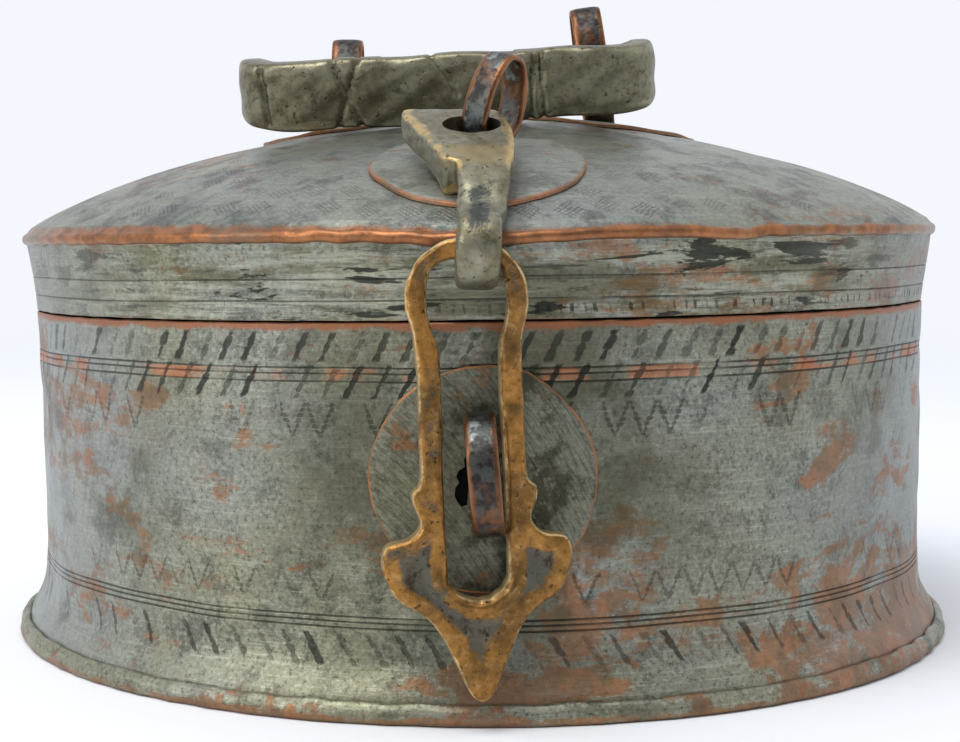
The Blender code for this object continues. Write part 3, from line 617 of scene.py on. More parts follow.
def turned(profile, steps, warp=None, wrap=False):
    """Points and faces of (radius, height) pairs turned about Z, the ends on the axis if not wrapped."""
    radius, height = (np.array(profile, float)[:, i, None] for i in (0, 1))
    angle = np.linspace(0, math.tau, steps, endpoint=False)[None, :]
    x, y = radius * np.sin(angle), -radius * np.cos(angle)
    z = height + 0 * angle
    if warp is not None:
        x, y, z = warp(x, y, z, angle + 0 * radius)
    points = np.stack([x, y, z], axis=-1)
    if wrap:
        return points.reshape(-1, 3), grid_faces(len(profile), steps, True)
    faces = grid_faces(len(profile) - 2, steps)
    inner = points[1:-1].reshape(-1, 3)
    ends = [points[0].mean(axis=0), points[-1].mean(axis=0)]
    count = len(inner)
    for j in range(steps):
        k = (j + 1) % steps
        faces.append((count, k, j))
        faces.append((count + 1, count - steps + j, count - steps + k))
    return np.concatenate([inner, ends]), faces


def waves(angle, height, seed, count=14, turns=30, rise=400):
    """Smooth unevenness between about -1 and 1, the same each time."""
    draw = np.random.default_rng(seed)
    total = 0 * angle
    for _ in range(count):
        around = draw.integers(2, turns)
        up = draw.uniform(-rise, rise)
        total = total + np.sin(around * angle + up * height + draw.uniform(0, math.tau))
    return total / math.sqrt(count)


def lean_over(x, y, z):
    """Sets the wall and lid slightly out of true, more so higher up."""
    share = np.clip(z / SEAM_Z, 0, 1)
    return x + LEAN * z * share, y, z + TILT * x * share


def wall_r(z):
    bow = 0.0007 * ((z - 0.025) / 0.050) ** 2
    return WAIST_R + bow + 0.0040 * np.exp(-(((z - 0.0030) / 0.0056) ** 2))


def collar_r(z):
    rise = np.clip((z - SEAM_Z) / (RIM_Z - SEAM_Z), 0, 1)
    return COLLAR_R + COLLAR_FLARE * rise**COLLAR_POWER


def dome_z(radius):
    rest = np.clip(1 - (np.minimum(radius, RIM_R) / RIM_R) ** DOME_POWER, 0, 1)
    return RIM_Z + (APEX_Z - RIM_Z) * rest**DOME_FULLNESS


def dents(angle, radius):
    """How far knocks have pushed the rim down, by angle."""
    near = np.clip((radius - 0.085) / (RIM_R - 0.085), 0, 1) ** 2
    deep = 0.0011 * np.exp(-(((angle + math.pi) % math.tau - math.pi) / 0.17) ** 2)
    small = 0.0006 * np.exp(-(((angle + math.pi) % math.tau - math.pi - 0.48) / 0.055) ** 2)
    return -(deep + small) * near


def fine_heights(low, high, step, lines):
    """Rows from low to high, closer together round each scribed line."""
    rows = set(np.round(np.arange(low, high, step), 6)) | {round(high, 6)}
    for line in lines:
        rows = {z for z in rows if abs(z - line) > 0.00040}
        rows |= {round(line + shift, 6) for shift in (-0.00035, -0.00018, 0, 0.00018, 0.00035)}
    return np.array(sorted(rows))


def line_depth(z, lines):
    return sum(0.00014 * np.exp(-(((z - line) / 0.00016) ** 2)) for line in lines)


def make_wall(material):
    lines = UPPER_LINES + LOWER_LINES
    outer = fine_heights(0.0016, SEAM_Z - 0.0004, 0.0011, lines)
    profile = [(wall_r(z) - line_depth(z, lines), z) for z in outer]
    top = SEAM_Z - 0.00015
    profile += [(wall_r(top) - 0.0003, top), (wall_r(top) - SHEET_T + 0.0003, top)]
    inner = np.linspace(SEAM_Z - 0.0006, 0.0016, 18)
    profile += [(wall_r(z) - SHEET_T, z) for z in inner]

    def warp(x, y, z, angle):
        near = np.clip(np.minimum(z - 0.004, SEAM_Z - z) / 0.006, 0, 1)
        swell = 1 + 0.00022 * waves(angle, z, 3) * near / WAIST_R
        wander = 0.00018 * np.sin(3 * angle + 1.0) + 0.00007 * np.sin(11 * angle + 1.0)
        edge = 0.00009 * waves(angle, 0 * z, 5, turns=60) * np.clip((z - SEAM_Z) / 0.002 + 1, 0, 1)
        return lean_over(x * swell, y * swell, z - wander * near - np.abs(edge))

    points, faces = turned(profile, STEPS, warp, wrap=True)
    return make_piece("body_shell", points, faces, material, "box", ["body_wall"])


def make_collar(material):
    heights = fine_heights(SEAM_Z + 0.00018, RIM_Z - 0.0010, 0.0009, COLLAR_LINES)
    profile = [(collar_r(z) - line_depth(z, COLLAR_LINES), z) for z in heights]
    profile += [(collar_r(z) - LID_T, z) for z in np.linspace(RIM_Z - 0.0010, SEAM_Z + 0.00023, 8)]

    def warp(x, y, z, angle):
        radius = np.hypot(x, y)
        swell = 1 + 0.00016 * waves(angle, z, 8) / COLLAR_R
        low = np.clip(1 - (z - SEAM_Z) / 0.003, 0, 1)
        edge = 0.00010 * np.abs(waves(angle, 0 * z, 9, turns=40)) * low
        share = np.clip((z - SEAM_Z) / (RIM_Z - SEAM_Z), 0, 1) ** 2
        return lean_over(x * swell, y * swell, z + edge + dents(angle, radius + RIM_R - collar_r(z)) * share)

    points, faces = turned(profile, STEPS, warp, wrap=True)
    return make_piece("collar_shell", points, faces, material, "lid", ["lid_collar"])


def dome_warp(x, y, z, angle):
    radius = np.hypot(x, y)
    near = np.clip((RIM_R - 0.002 - radius) / 0.01, 0, 1) * np.clip(radius / 0.02, 0, 1)
    rise = 0.00020 * waves(angle, radius, 12, rise=160) * near
    edge = 0.00010 * waves(angle, 0 * radius, 14, turns=90) * np.clip((radius - 0.1045) / 0.001, 0, 1)
    return lean_over(x, y, z + rise + edge + dents(angle, radius))


def make_dome(material):
    """Dome, its edge turned over the collar in a thick round bead."""
    radii = np.linspace(0.1040, 0.004, 84)
    bead_r, bead_z = RIM_R - 0.0010, RIM_Z - 0.0004
    bead = [
        (bead_r + 0.0012 * math.cos(a), bead_z + 0.00125 * math.sin(a))
        for a in np.radians(np.linspace(78, -80, 11))
    ]
    profile = [(0, dome_z(0))] + [(r, dome_z(r)) for r in radii[::-1]]
    profile += [(0.1050, dome_z(0.1050) + 0.0001)] + bead
    profile += [(RIM_R - 0.0006, RIM_Z - 0.0012), (RIM_R - 0.0008, RIM_Z - 0.0002)]
    profile += [(r - 0.0004, dome_z(r) - LID_T) for r in np.linspace(0.1030, 0.006, 24)]
    profile += [(0, dome_z(0) - LID_T)]
    points, faces = turned(profile, STEPS, dome_warp)
    return make_piece("dome_shell", points, faces, material, "lid", ["lid_dome"])


def make_foot(material):
    """Floor pan with its edge folded over the foot of the wall in a soft lip."""
    lip = LIP_Z
    profile = [(0, 0.0012), (0.060, 0.0012), (FOOT_R - 0.0030, 0.0012), (FOOT_R - 0.0016, 0.0014)]
    profile += [(FOOT_R - 0.0020, 0.0026), (FOOT_R - 0.0026, lip - 0.0006), (FOOT_R - 0.0022, lip - 0.0001)]
    profile += [(FOOT_R - 0.0016, lip), (FOOT_R - 0.0011, lip - 0.0004), (FOOT_R - 0.0006, 0.0031)]
    profile += [(FOOT_R - 0.0002, 0.0023), (FOOT_R, 0.0014), (FOOT_R - 0.0001, 0.0008)]
    profile += [(FOOT_R - 0.0004, 0.0002), (FOOT_R - 0.0010, 0.0), (0.060, 0.0), (0, 0.0)]

    def warp(x, y, z, angle):
        radius = np.hypot(x, y)
        out = np.clip((radius - 0.104) / 0.004, 0, 1)
        uneven = 0.00022 * waves(angle, 0 * z, 21, turns=50) * out
        swell = 1 - np.abs(uneven) / FOOT_R
        ripple = 0.00016 * waves(angle, 0 * z, 22, turns=70) * np.clip((z - 0.0015) / 0.002, 0, 1)
        return x * swell, y * swell, z + ripple

    points, faces = turned(profile, STEPS, warp)
    return make_piece("foot_pan", points, faces, material, "box", ["base_pan"])


def make_neck(material):
    low, high = NECK_Z
    t = 0.0010
    profile = [(NECK_R, low), (NECK_R, high - 0.001), (NECK_R - 0.0003, high - 0.0002)]
    profile += [(NECK_R - t / 2, high), (NECK_R - t, high - 0.0004), (NECK_R - t, low)]
    points, faces = turned(profile, 360, wrap=True)
    return make_piece("neck_shell", points, faces, material, "box", ["neck_ring"])


def make_cup(node, material):
    """Thin cup with a rolled edge."""
    low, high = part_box(node)
    middle_x, middle_y = (low.x + high.x) / 2, (low.y + high.y) / 2
    rim, foot, t = (high.x - low.x) / 2, (high.x - low.x) / 2 - 0.0047, 0.0009
    bead = 0.0008
    profile = [(0, low.z + t), (foot - 0.0030, low.z + t), (foot - 0.0012, low.z + 0.0014)]
    profile += [(foot - t, low.z + 0.0030), (rim - bead * 1.6, high.z - 0.0020)]
    profile += [
        (rim - bead + bead * math.cos(a), high.z - bead + bead * math.sin(a))
        for a in np.radians(np.linspace(165, -100, 9))
    ]
    profile += [(foot, low.z + 0.0030), (foot - 0.0005, low.z + 0.0010), (foot - 0.0022, low.z), (0, low.z)]
    points, faces = turned(profile, 96)
    points = points + np.array([middle_x, middle_y, 0])
    return make_piece(f"{node}_shell", points, faces, material, "box", [node])


def make_washer(name, node, place, body, material, seed):
    """Hand-cut disc. place(x, y, lift) puts a point of the flat disc on the surface under it."""
    steps, rings = 160, 14
    angle = np.linspace(0, math.tau, steps, endpoint=False)
    ragged = 1 + 0.012 * waves(angle, 0 * angle, seed, turns=9)
    ragged += 0.003 * waves(angle, 0 * angle, seed + 1, turns=40)
    layers = []
    shares = [i / rings for i in range(1, rings)] + [0.985, 1.0]
    for lift in (WASHER_T, 0.0):
        points = [place(0, 0, lift)]
        for share in shares:
            soft = 0.00022 if share == 1.0 and lift else 0
            radius = WASHER_R * share * ragged
            points += [place(r * math.cos(a), r * math.sin(a), lift - soft) for r, a in zip(radius, angle)]
        layers.append(points)
    count = len(layers[0])
    faces = []
    for start in (0, count):
        for j in range(steps):
            k = (j + 1) % steps
            faces.append((start, start + 1 + j, start + 1 + k))
            for ring in range(len(shares) - 1):
                here = start + 1 + ring * steps
                faces.append((here + j, here + steps + j, here + steps + k, here + k))
    last = 1 + (len(shares) - 1) * steps
    for j in range(steps):
        k = (j + 1) % steps
        faces.append((last + j, count + last + j, count + last + k, last + k))
    edge = [0.0] + [share for share in shares for _ in range(steps)]
    marks = {"edge": edge * 2}
    return make_piece(name, layers[0] + layers[1], faces, material, body, [node], marks, 35)


def smooth_path(knots, spans):
    """Catmull-Rom points through knots of any length."""
    knots = np.array(knots, float)
    ends = np.concatenate([knots[:1], knots, knots[-1:]])
    found = []
    for before, start, end, after in zip(ends, ends[1:], ends[2:], ends[3:]):
        for t in np.arange(spans) / spans:
            bend = (2 * before - 5 * start + 4 * end - after) * t * t
            twist = (3 * start - before - 3 * end + after) * t**3
            found.append(0.5 * (2 * start + (end - before) * t + bend + twist))
    return np.array(found + [knots[-1]])


def path_normals(path):
    along = np.gradient(path[:, :2], axis=0)
    along /= np.linalg.norm(along, axis=1)[:, None]
    return np.stack([-along[:, 1], along[:, 0]], axis=1)


def ring_section(half_a, half_b, power, count):
    """Across, out and corner share of a rounded rectangle's points."""
    angle = math.tau * (np.arange(count) + 0.5) / count
    c, s = np.cos(angle), np.sin(angle)
    radius = (np.abs(c) ** power + np.abs(s) ** power) ** (-1 / power)
    return half_a * radius * c, half_b * radius * s, (radius - 1) / 2 ** (0.5 - 1 / power)


def lofted(rings):
    """Points and faces through equal rings, capped."""
    rings = np.array(rings)
    rows, columns = rings.shape[:2]
    faces = grid_faces(rows, columns)
    faces.append(tuple(range(columns))[::-1])
    faces.append(tuple((rows - 1) * columns + j for j in range(columns)))
    return rings.reshape(-1, 3), faces


def eye_rings(height, half, depth, width, slope):
    """A strap folded into a loop with its legs through a slot, in its own frame: (across, u, v)."""
    leg = (STRAP_T - 0.0002 + GAP) / 2
    side = [
        (leg + 0.0072, -depth),
        (leg + 0.0016, -depth),
        (leg + 0.0002, -depth + 0.0011),
        (leg, -depth + 0.0026),
        (leg + 0.0001, 0.0008),
        (0.48 * half, 0.0025),
        (0.86 * half, 0.0050),
        (half, 0.42 * height),
        (0.88 * half, 0.72 * height),
        (0.46 * half, 0.95 * height),
    ]
    knots = side + [(0, height)] + [(-u, v) for u, v in side[::-1]]
    knots = [(u, v + slope * u * (1 - min(max(v / height, 0), 1))) for u, v in knots]
    path = smooth_path(knots, 8)
    across, out, _ = ring_section(width / 2, STRAP_T / 2, 3.6, 24)
    rings, marks = [], []
    for (u, v), (side_u, side_v) in zip(path, path_normals(path)):
        rings.append([(a, u + b * side_u, v + b * side_v) for a, b in zip(across, out)])
        marks.append(across / (width / 2))
    return rings, marks


def make_eye(name, node, place, body, material, height, half, depth, width, slope=0.0):
    rings, marks = eye_rings(height - STRAP_T / 2, half - STRAP_T / 2, depth, width, slope)
    points, faces = lofted(rings)
    matrix = np.array(place)
    points = points @ matrix[:3, :3].T + matrix[:3, 3]
    return make_piece(name, points, faces, material, body, [node], {"across": marks}, 60)


def make_link(material):
    """Cast link: thick flat head with a hole for the lid's eye, and a finger that hooks round the hasp."""
    stations = [
        # y, z of the middle, left and right in x, half thickness, extra depth under the left side
        (-0.0757, 0.1139, -0.0146, 0.0016, 0.0018, 0.0),
        (-0.0768, 0.1134, -0.0158, 0.0030, 0.0024, 0.1),
        (-0.0795, 0.1122, -0.0160, 0.0042, 0.0026, 0.2),
        (-0.0850, 0.1098, -0.0138, 0.0054, 0.0026, 0.3),
        (-0.0915, 0.1070, -0.0110, 0.0060, 0.0025, 0.4),
        (-0.0970, 0.1045, -0.0086, 0.0058, 0.0025, 0.9),
        (-0.0998, 0.1031, -0.0076, 0.0055, 0.0025, 1.3),
        (-0.1008, 0.1025, -0.0052, 0.0052, 0.0025, 0.2),
        (-0.1040, 0.1003, -0.0047, 0.0048, 0.0025, 0.0),
        (-0.1075, 0.0974, -0.0047, 0.0045, 0.0024, 0.0),
        (-0.1105, 0.0947, -0.0048, 0.0042, 0.0022, 0.0),
    ]
    y, z = HASP_PIVOT.y, HASP_PIVOT.z
    for i in range(8):
        ball = 0.0005 * math.sin(math.pi * i / 7)
        a = math.radians(100 + 162 * i / 7)
        reach = HOOK_R + ball
        middle = -0.0004 - 0.0008 * i / 7
        wide = 0.0038 + ball * 0.6
        left, right = middle - wide, middle + wide
        stations.append((y + reach * math.cos(a), z + reach * math.sin(a), left, right, 0.0020 + ball, 0.0))
    for degrees, thick, wide in ((285, 0.0020, 0.0038), (308, 0.0016, 0.0032), (318, 0.0009, 0.0020)):
        a = math.radians(degrees)
        left, right = HOOK_X - wide, HOOK_X + wide
        stations.append((y + HOOK_R * math.cos(a), z + HOOK_R * math.sin(a), left, right, thick, 0.0))
    path = smooth_path(stations, 7)
    rings, wear, hollow, gold = [], [], [], []
    for (along, up, left, right, thick, deeper), (out_y, out_z) in zip(path, path_normals(path)):
        round_end = min(max((-0.1015 - along) / 0.006, 0), 1)
        a, b, corner = ring_section((right - left) / 2, thick, 11.0 - 7.6 * round_end, 72)
        under = np.clip(-b * np.sign(out_z) / thick, 0, 1) * np.clip(0.5 - a / (right - left), 0, 1)
        b = b * (1 + deeper * under)
        middle = (left + right) / 2
        rough = 0.00005 * np.sin(a * 1300 + along * 700) + 0.00004 * np.sin(b * 2100 - along * 1100)
        side, out = middle + a + rough, b + rough
        rings.append(np.stack([side, along + out * out_y, up + out * out_z], axis=-1))
        edge = corner / corner.max()
        wear.append(np.clip(edge * (1.05 - 0.60 * round_end), 0, 1))
        front = np.clip(b * np.sign(out_z) / thick + 0.6, 0, 1)
        middle_share = np.clip(1.5 - 3.2 * np.abs(a) / (right - left), 0, 1)
        window = math.exp(-(((up - 0.0945) / 0.0042) ** 2)) if along < -0.104 else 0.0
        hollow.append(window * front * middle_share)
        gold.append(front * math.exp(-(((along + 0.0985) / 0.0052) ** 2)) + 0 * a)
    points, faces = lofted(rings)
    marks = {"wear": wear, "hollow": hollow, "gold": gold}
    link = make_piece("link_cast", points, faces, material, "link", ["hasp_link"], marks, 40)
    bore = [(0, 0.010), (0.0050, 0.010), (0.0048, 0.0012), (0.0048, -0.0012), (0.0050, -0.010), (0, -0.010)]
    points, faces = turned(bore, 48)
    place = (
        Matrix.Translation(LINK_HOLE)
        @ Matrix.Rotation(LINK_HOLE_TILT, 4, "X")
        @ Matrix.Diagonal((1.18, 1.0, 1, 1))
    )
    cut_away(link, "link_hole", [place @ Vector(p) for p in points], faces)
    return link


def cut_away(piece, name, points, faces):
    """Cuts a closed shape out of a piece."""
    cutter = bpy.data.objects.new(name, outward_mesh(name, points, faces))
    bpy.context.scene.collection.objects.link(cutter)
    cut = piece.modifiers.new("cut", "BOOLEAN")
    cut.operation = "DIFFERENCE"
    cut.solver = "EXACT"
    cut.object = cutter
    bpy.context.view_layer.update()
    ready = piece.evaluated_get(bpy.context.evaluated_depsgraph_get())
    left = bpy.data.meshes.new_from_object(ready)
    piece.modifiers.clear()
    piece.data = left
    left.shade_smooth()
    left.set_sharp_from_angle(angle=math.radians(40))
    bpy.data.objects.remove(cutter, do_unlink=True)


def hasp_outline():
    """Right half of the outline, from the top down: (x, drop below the top)."""
    crown = [
        (0.0112 * math.cos(a), 0.0112 + 0.0112 * math.sin(a))
        for a in np.radians(np.linspace(-90, 22, 9))
    ]
    side = [
        (0.0098, 0.0185),
        (0.0095, 0.0260),
        (0.0096, 0.0340),
        (0.0097, 0.0430),
        (0.0113, 0.0454),
        (0.0113, 0.0476),
        (0.0101, 0.0512),
        (0.0122, 0.0538),
        (0.0160, 0.0547),
        (0.0172, 0.0566),
        (0.0171, 0.0600),
        (0.0150, 0.0646),
        (0.0100, 0.0682),
        (0.0070, 0.0722),
        (0.0049, 0.0768),
        (0.0028, 0.0818),
        (0.0014, 0.0838),
    ]
    return crown + side


def slot_outline():
    """Right half of the keyhole slot, from the top down."""
    crown = [
        (0.0072 * math.sin(a) ** (2 / 3), 0.0113 - 0.0075 * math.cos(a) ** (2 / 3))
        for a in np.radians((0, 14, 30, 48, 66, 90))
    ]
    foot = [(0.0056 * math.cos(a), 0.0600 + 0.0056 * math.sin(a)) for a in np.radians(np.linspace(0, 90, 5))]
    return crown + [(0.0067, 0.0160), (0.0055, 0.0200), (0.0054, 0.0300), (0.0056, 0.0420)] + foot


def full_loop(half, spans, seed):
    """A closed, slightly uneven outline from its right half."""
    right = smooth_path(half, spans)
    left = right[::-1] * np.array([-1, 1])
    loop = np.concatenate([right, left[1:-1] if abs(right[0][0]) < 1e-6 else left])
    loop = np.array([p for i, p in enumerate(loop) if np.linalg.norm(p - loop[i - 1]) > 5e-5])
    turn = np.linspace(0, math.tau, len(loop), endpoint=False)
    return loop + 0.00006 * np.stack([waves(turn, 0 * turn, seed), waves(turn, 0 * turn, seed + 1)], axis=1)


def inset(loop, distance):
    """The loop moved inwards (towards its left) by a distance."""
    along = np.roll(loop, -2, axis=0) - np.roll(loop, 2, axis=0)
    along /= np.linalg.norm(along, axis=1)[:, None]
    return loop + distance * np.stack([-along[:, 1], along[:, 0]], axis=1)


def distance_to(points, loop):
    """Distance from each point to a closed outline."""
    run = np.roll(loop, -1, axis=0) - loop
    gap = points[:, None] - loop[None]
    share = np.clip((gap * run).sum(axis=2) / (run**2).sum(axis=1), 0, 1)
    return np.linalg.norm(gap - share[..., None] * run, axis=2).min(axis=1)


def inside(points, loop):
    x, y = points[:, 0, None], points[:, 1, None]
    x0, y0 = loop[:, 0], loop[:, 1]
    x1, y1 = np.roll(loop, -1, axis=0).T
    crosses = ((y0 > y) != (y1 > y)) & (x < (x1 - x0) * (y - y0) / (y1 - y0 + 1e-12) + x0)
    return crosses.sum(axis=1) % 2 == 1


def ease(value):
    value = np.clip(value, 0, 1)
    return value * value * (3 - 2 * value)


def twisted(x, depth, drop):
    """The hasp is turned a little out of line below its crown."""
    turn = HASP_TURN * min(max((drop - 0.0080) / 0.0120, 0), 1)
    return (x * math.cos(turn) - depth * math.sin(turn), x * math.sin(turn) + depth * math.cos(turn), -drop)


def plate_mesh(outer, inner, step):
    """Even triangles over a plate with a slot: points, faces and each point's distance from the edge."""
    low, high = outer.min(axis=0), outer.max(axis=0)
    rows = np.arange(low[1], high[1], step * 0.87)
    columns = np.arange(low[0], high[0], step)
    grid = np.array([(x + step / 2 * (i % 2), y) for i, y in enumerate(rows) for x in columns])
    free = [(grid, step * 0.75)]
    for distance in (0.00018, 0.00045, 0.00085):
        for loop, sign in ((outer, 1), (inner, -1)):
            for side in (sign, -sign):
                free.append((inset(loop, side * distance), distance * 0.92))
    kept = []
    for points, least in free:
        good = inside(points, outer) & ~inside(points, inner)
        points = points[good]
        edge = np.minimum(distance_to(points, outer), distance_to(points, inner))
        kept.append(points[edge > least])
    flat = np.concatenate([outer, inner] + kept)
    a, b = len(outer), len(inner)
    edges = [(i, (i + 1) % a) for i in range(a)] + [(a + i, a + (i + 1) % b) for i in range(b)]
    found = delaunay_2d_cdt([Vector(p) for p in flat], edges, [], 1, 1e-7)
    points = np.array([tuple(p) for p in found[0]])
    faces = np.array(found[2])
    middle = points[faces].mean(axis=1)
    faces = faces[inside(middle, outer) & ~inside(middle, inner)]
    return points, faces, distance_to(points, outer), distance_to(points, inner)


def make_hasp(material):
    """Cast hasp with a keyhole slot: rounded edges, hollowed wings, a lip under the slot."""
    half, round_r = HASP_T / 2, 0.0011
    outer = full_loop([(0, 0)] + hasp_outline()[1:] + [(0, 0.0845)], 5, 31)
    inner = full_loop(slot_outline(), 5, 33)
    flat, faces, from_outer, from_slot = plate_mesh(outer, inner, 0.00055)
    edge = np.minimum(from_outer, from_slot)
    drop = flat[:, 1]
    rounding = round_r - np.sqrt(np.maximum(round_r**2 - (round_r - np.minimum(edge, round_r)) ** 2, 0))
    hollow = ease((edge - 0.0022) / 0.0022) * ease((drop - 0.050) / 0.004)
    lip = np.exp(-(((from_slot - 0.0016) / 0.0008) ** 2)) * ease((drop - 0.0590) / 0.0050)
    uneven = 0.00014 * np.sin(drop * 620 + flat[:, 0] * 380)
    uneven += 0.00010 * np.sin(flat[:, 0] * 1100 - drop * 410)
    front = -half + rounding + 0.00055 * hollow - 0.0005 * lip + uneven * ease(edge / 0.001)
    back = half - rounding * 0.6
    count = len(flat)
    points = [twisted(x, d, r) for (x, r), d in zip(flat, front)]
    points += [twisted(x, d, r) for (x, r), d in zip(flat, back)]
    seen = {}
    for face in faces:
        for i, j in zip(face, np.roll(face, -1)):
            seen[(int(i), int(j))] = True
    sides = [(i, j, j + count, i + count) for i, j in seen if (j, i) not in seen]
    shapes = [tuple(int(i) for i in face) for face in faces]
    shapes += [tuple(int(i) + count for i in face[::-1]) for face in faces] + sides
    place = (
        Matrix.Translation(HASP_PIVOT)
        @ Matrix.Rotation(HASP_LEAN, 4, "Y")
        @ Matrix.Translation((HASP_X, 0, HASP_BAR))
    )
    points = [place @ Vector(p) for p in points]
    wear = np.clip(1.15 - edge / 0.0013, 0, 1)
    marks = {"wear": np.concatenate([wear, wear]), "hollow": np.concatenate([hollow, 0 * hollow])}
    return make_piece("hasp_cast", points, shapes, material, "hasp", ["hasp"], marks, 70)


def make_handle(material):
    """Bail: a broad cast bar with chased crosses, two arms, and inward pins."""
    side = [
        # along the axis, out from the axis, half thickness, half height
        (0.0150, 0.0000, 0.0019, 0.0019),
        (0.0157, 0.0000, 0.0026, 0.0026),
        (0.0166, 0.0000, 0.0029, 0.0029),
        (0.0210, 0.0000, 0.0029, 0.0029),
        (0.0340, 0.0000, 0.0029, 0.0029),
        (0.0405, 0.0012, 0.0029, 0.0031),
        (0.0438, 0.0060, 0.0028, 0.0044),
        (0.0443, 0.0160, 0.0028, 0.0062),
        (0.0441, 0.0250, 0.0029, 0.0072),
        (0.0410, 0.0306, 0.0030, 0.0074),
        (0.0330, 0.0330, 0.0029, 0.0077),
        (0.0160, 0.0334, 0.0027, 0.0077),
    ]
    knots = side + [(0.0, 0.0334, 0.0027, 0.0077)] + [(-along, *rest) for along, *rest in side[::-1]]
    path = smooth_path(knots, 34)
    normals = path_normals(path)
    chased = [
        # grooves across the bar: from (along, up) to (along, up)
        ((-0.0195, 0.0075), (-0.0246, -0.0080)),
        ((-0.0248, 0.0075), (-0.0192, -0.0080)),
        ((-0.0032, 0.0075), (0.0022, -0.0012)),
        ((0.0190, 0.0075), (0.0182, -0.0080)),
        ((0.0206, 0.0075), (0.0212, -0.0080)),
        ((-0.0400, 0.0060), (-0.0392, -0.0062)),
    ]
    count = 88
    sections = [ring_section(thick, high, 4.2, count) for _, _, thick, high in path]
    a = np.array([s[0] for s in sections])
    b = np.array([s[1] for s in sections])
    corner = np.array([s[2] for s in sections])
    along, out = path[:, 0, None] + 0 * a, path[:, 1, None] + 0 * a
    groove = 0 * a
    for (x0, b0), (x1, b1) in chased:
        run_x, run_b = x1 - x0, b1 - b0
        share = np.clip(((along - x0) * run_x + (b - b0) * run_b) / (run_x**2 + run_b**2), 0, 1)
        off = np.hypot(along - x0 - run_x * share, b - b0 - run_b * share)
        groove = np.maximum(groove, np.exp(-((off / 0.00060) ** 2)))
    groove *= out > 0.030
    rough = 0.00022 * np.sin(210 * along + 150 * b) * np.sin(330 * b - 120 * along)
    rough += 0.00012 * np.sin(900 * b - 640 * along)
    a = a - np.sign(a) * 0.0008 * groove * np.clip(np.abs(a) / 0.001, 0, 1) + rough
    b = b - np.sign(b) * 0.0005 * groove * np.clip(np.abs(b) / 0.006 - 0.5, 0, 1)
    b = b + 0.00025 * np.sin(260 * along + 1.0) * np.clip(np.abs(b) / 0.007, 0, 1)
    reach = out + a * normals[:, 1, None]
    x = HANDLE_X + along + a * normals[:, 0, None]
    cos_drop, sin_drop = math.cos(HANDLE_DROP), math.sin(HANDLE_DROP)
    rings = np.stack([x, -reach * cos_drop - b * sin_drop, b * cos_drop - reach * sin_drop], axis=-1)
    points, faces = lofted(rings)
    matrix = np.array(Matrix.Translation(HANDLE_PIVOT) @ Matrix.Rotation(-HANDLE_TILT, 4, "Y"))
    points = points @ matrix[:3, :3].T + matrix[:3, 3]
    marks = {"wear": corner / corner.max(axis=1)[:, None] * (1 - groove), "hollow": groove}
    return make_piece("handle_cast", points, faces, material, "handle", ["handle"], marks, 50)


def on_dome(centre_x, centre_y):
    def place(x, y, lift):
        px, py = centre_x + x, centre_y + y
        radius, angle = math.hypot(px, py), math.atan2(px, -py)
        found = dome_warp(*(np.array([v]) for v in (px, py, float(dome_z(radius)), angle)))
        return Vector((float(found[0][0]), float(found[1][0]), float(found[2][0]) + GAP / 2 + lift))

    return place


def on_wall(centre_z):
    def place(x, z, lift):
        height = centre_z + z
        radius = float(wall_r(height)) + GAP + lift
        return Vector((x, -math.sqrt(radius**2 - x**2), height))

    return place


def make_lid_fittings(strap, dome_washer):
    x, y = LID_EYE
    make_washer("lid_eye_disc", "lid_hasp_washer", on_dome(x, LID_DISC_Y), "lid", dome_washer, 41)
    surface = float(dome_z(math.hypot(x, y)))
    place = (
        Matrix.Translation((x, y, surface + GAP + WASHER_T))
        @ Matrix.Rotation(LID_EYE_LEAN, 4, "Y")
        @ Matrix.Rotation(-LID_EYE_TURN, 4, "Z")
    )
    radius = math.hypot(x, y)
    slope = float(dome_z(radius) - dome_z(radius + 0.001)) / 0.001 * math.cos(LID_EYE_TURN)
    make_eye("lid_eye_strap", "lid_hasp_eye", place, "lid", strap, 0.0205, 0.0073, 0.0047, STRAP_W, slope)
    for side, sign, height, lean in (("left", -1, 0.0205, 0.0), ("right", 1, 0.0283, math.radians(-8))):
        x = sign * HANDLE_EYE_X
        place = (
            Matrix.Translation((x + EYE_SHIFT, 0, float(dome_z(abs(x))) + GAP + WASHER_T))
            @ Matrix.Rotation(lean, 4, "Y")
        )
        name, node, seed = f"handle_disc_{side}", f"handle_washer_{side}", 50 + sign
        make_washer(name, node, on_dome(x, 0), "lid", dome_washer, seed)
        name, node = f"handle_strap_{side}", f"handle_eye_{side}"
        make_eye(name, node, place, "lid", strap, height, 0.0068, 0.0046, 0.0072)


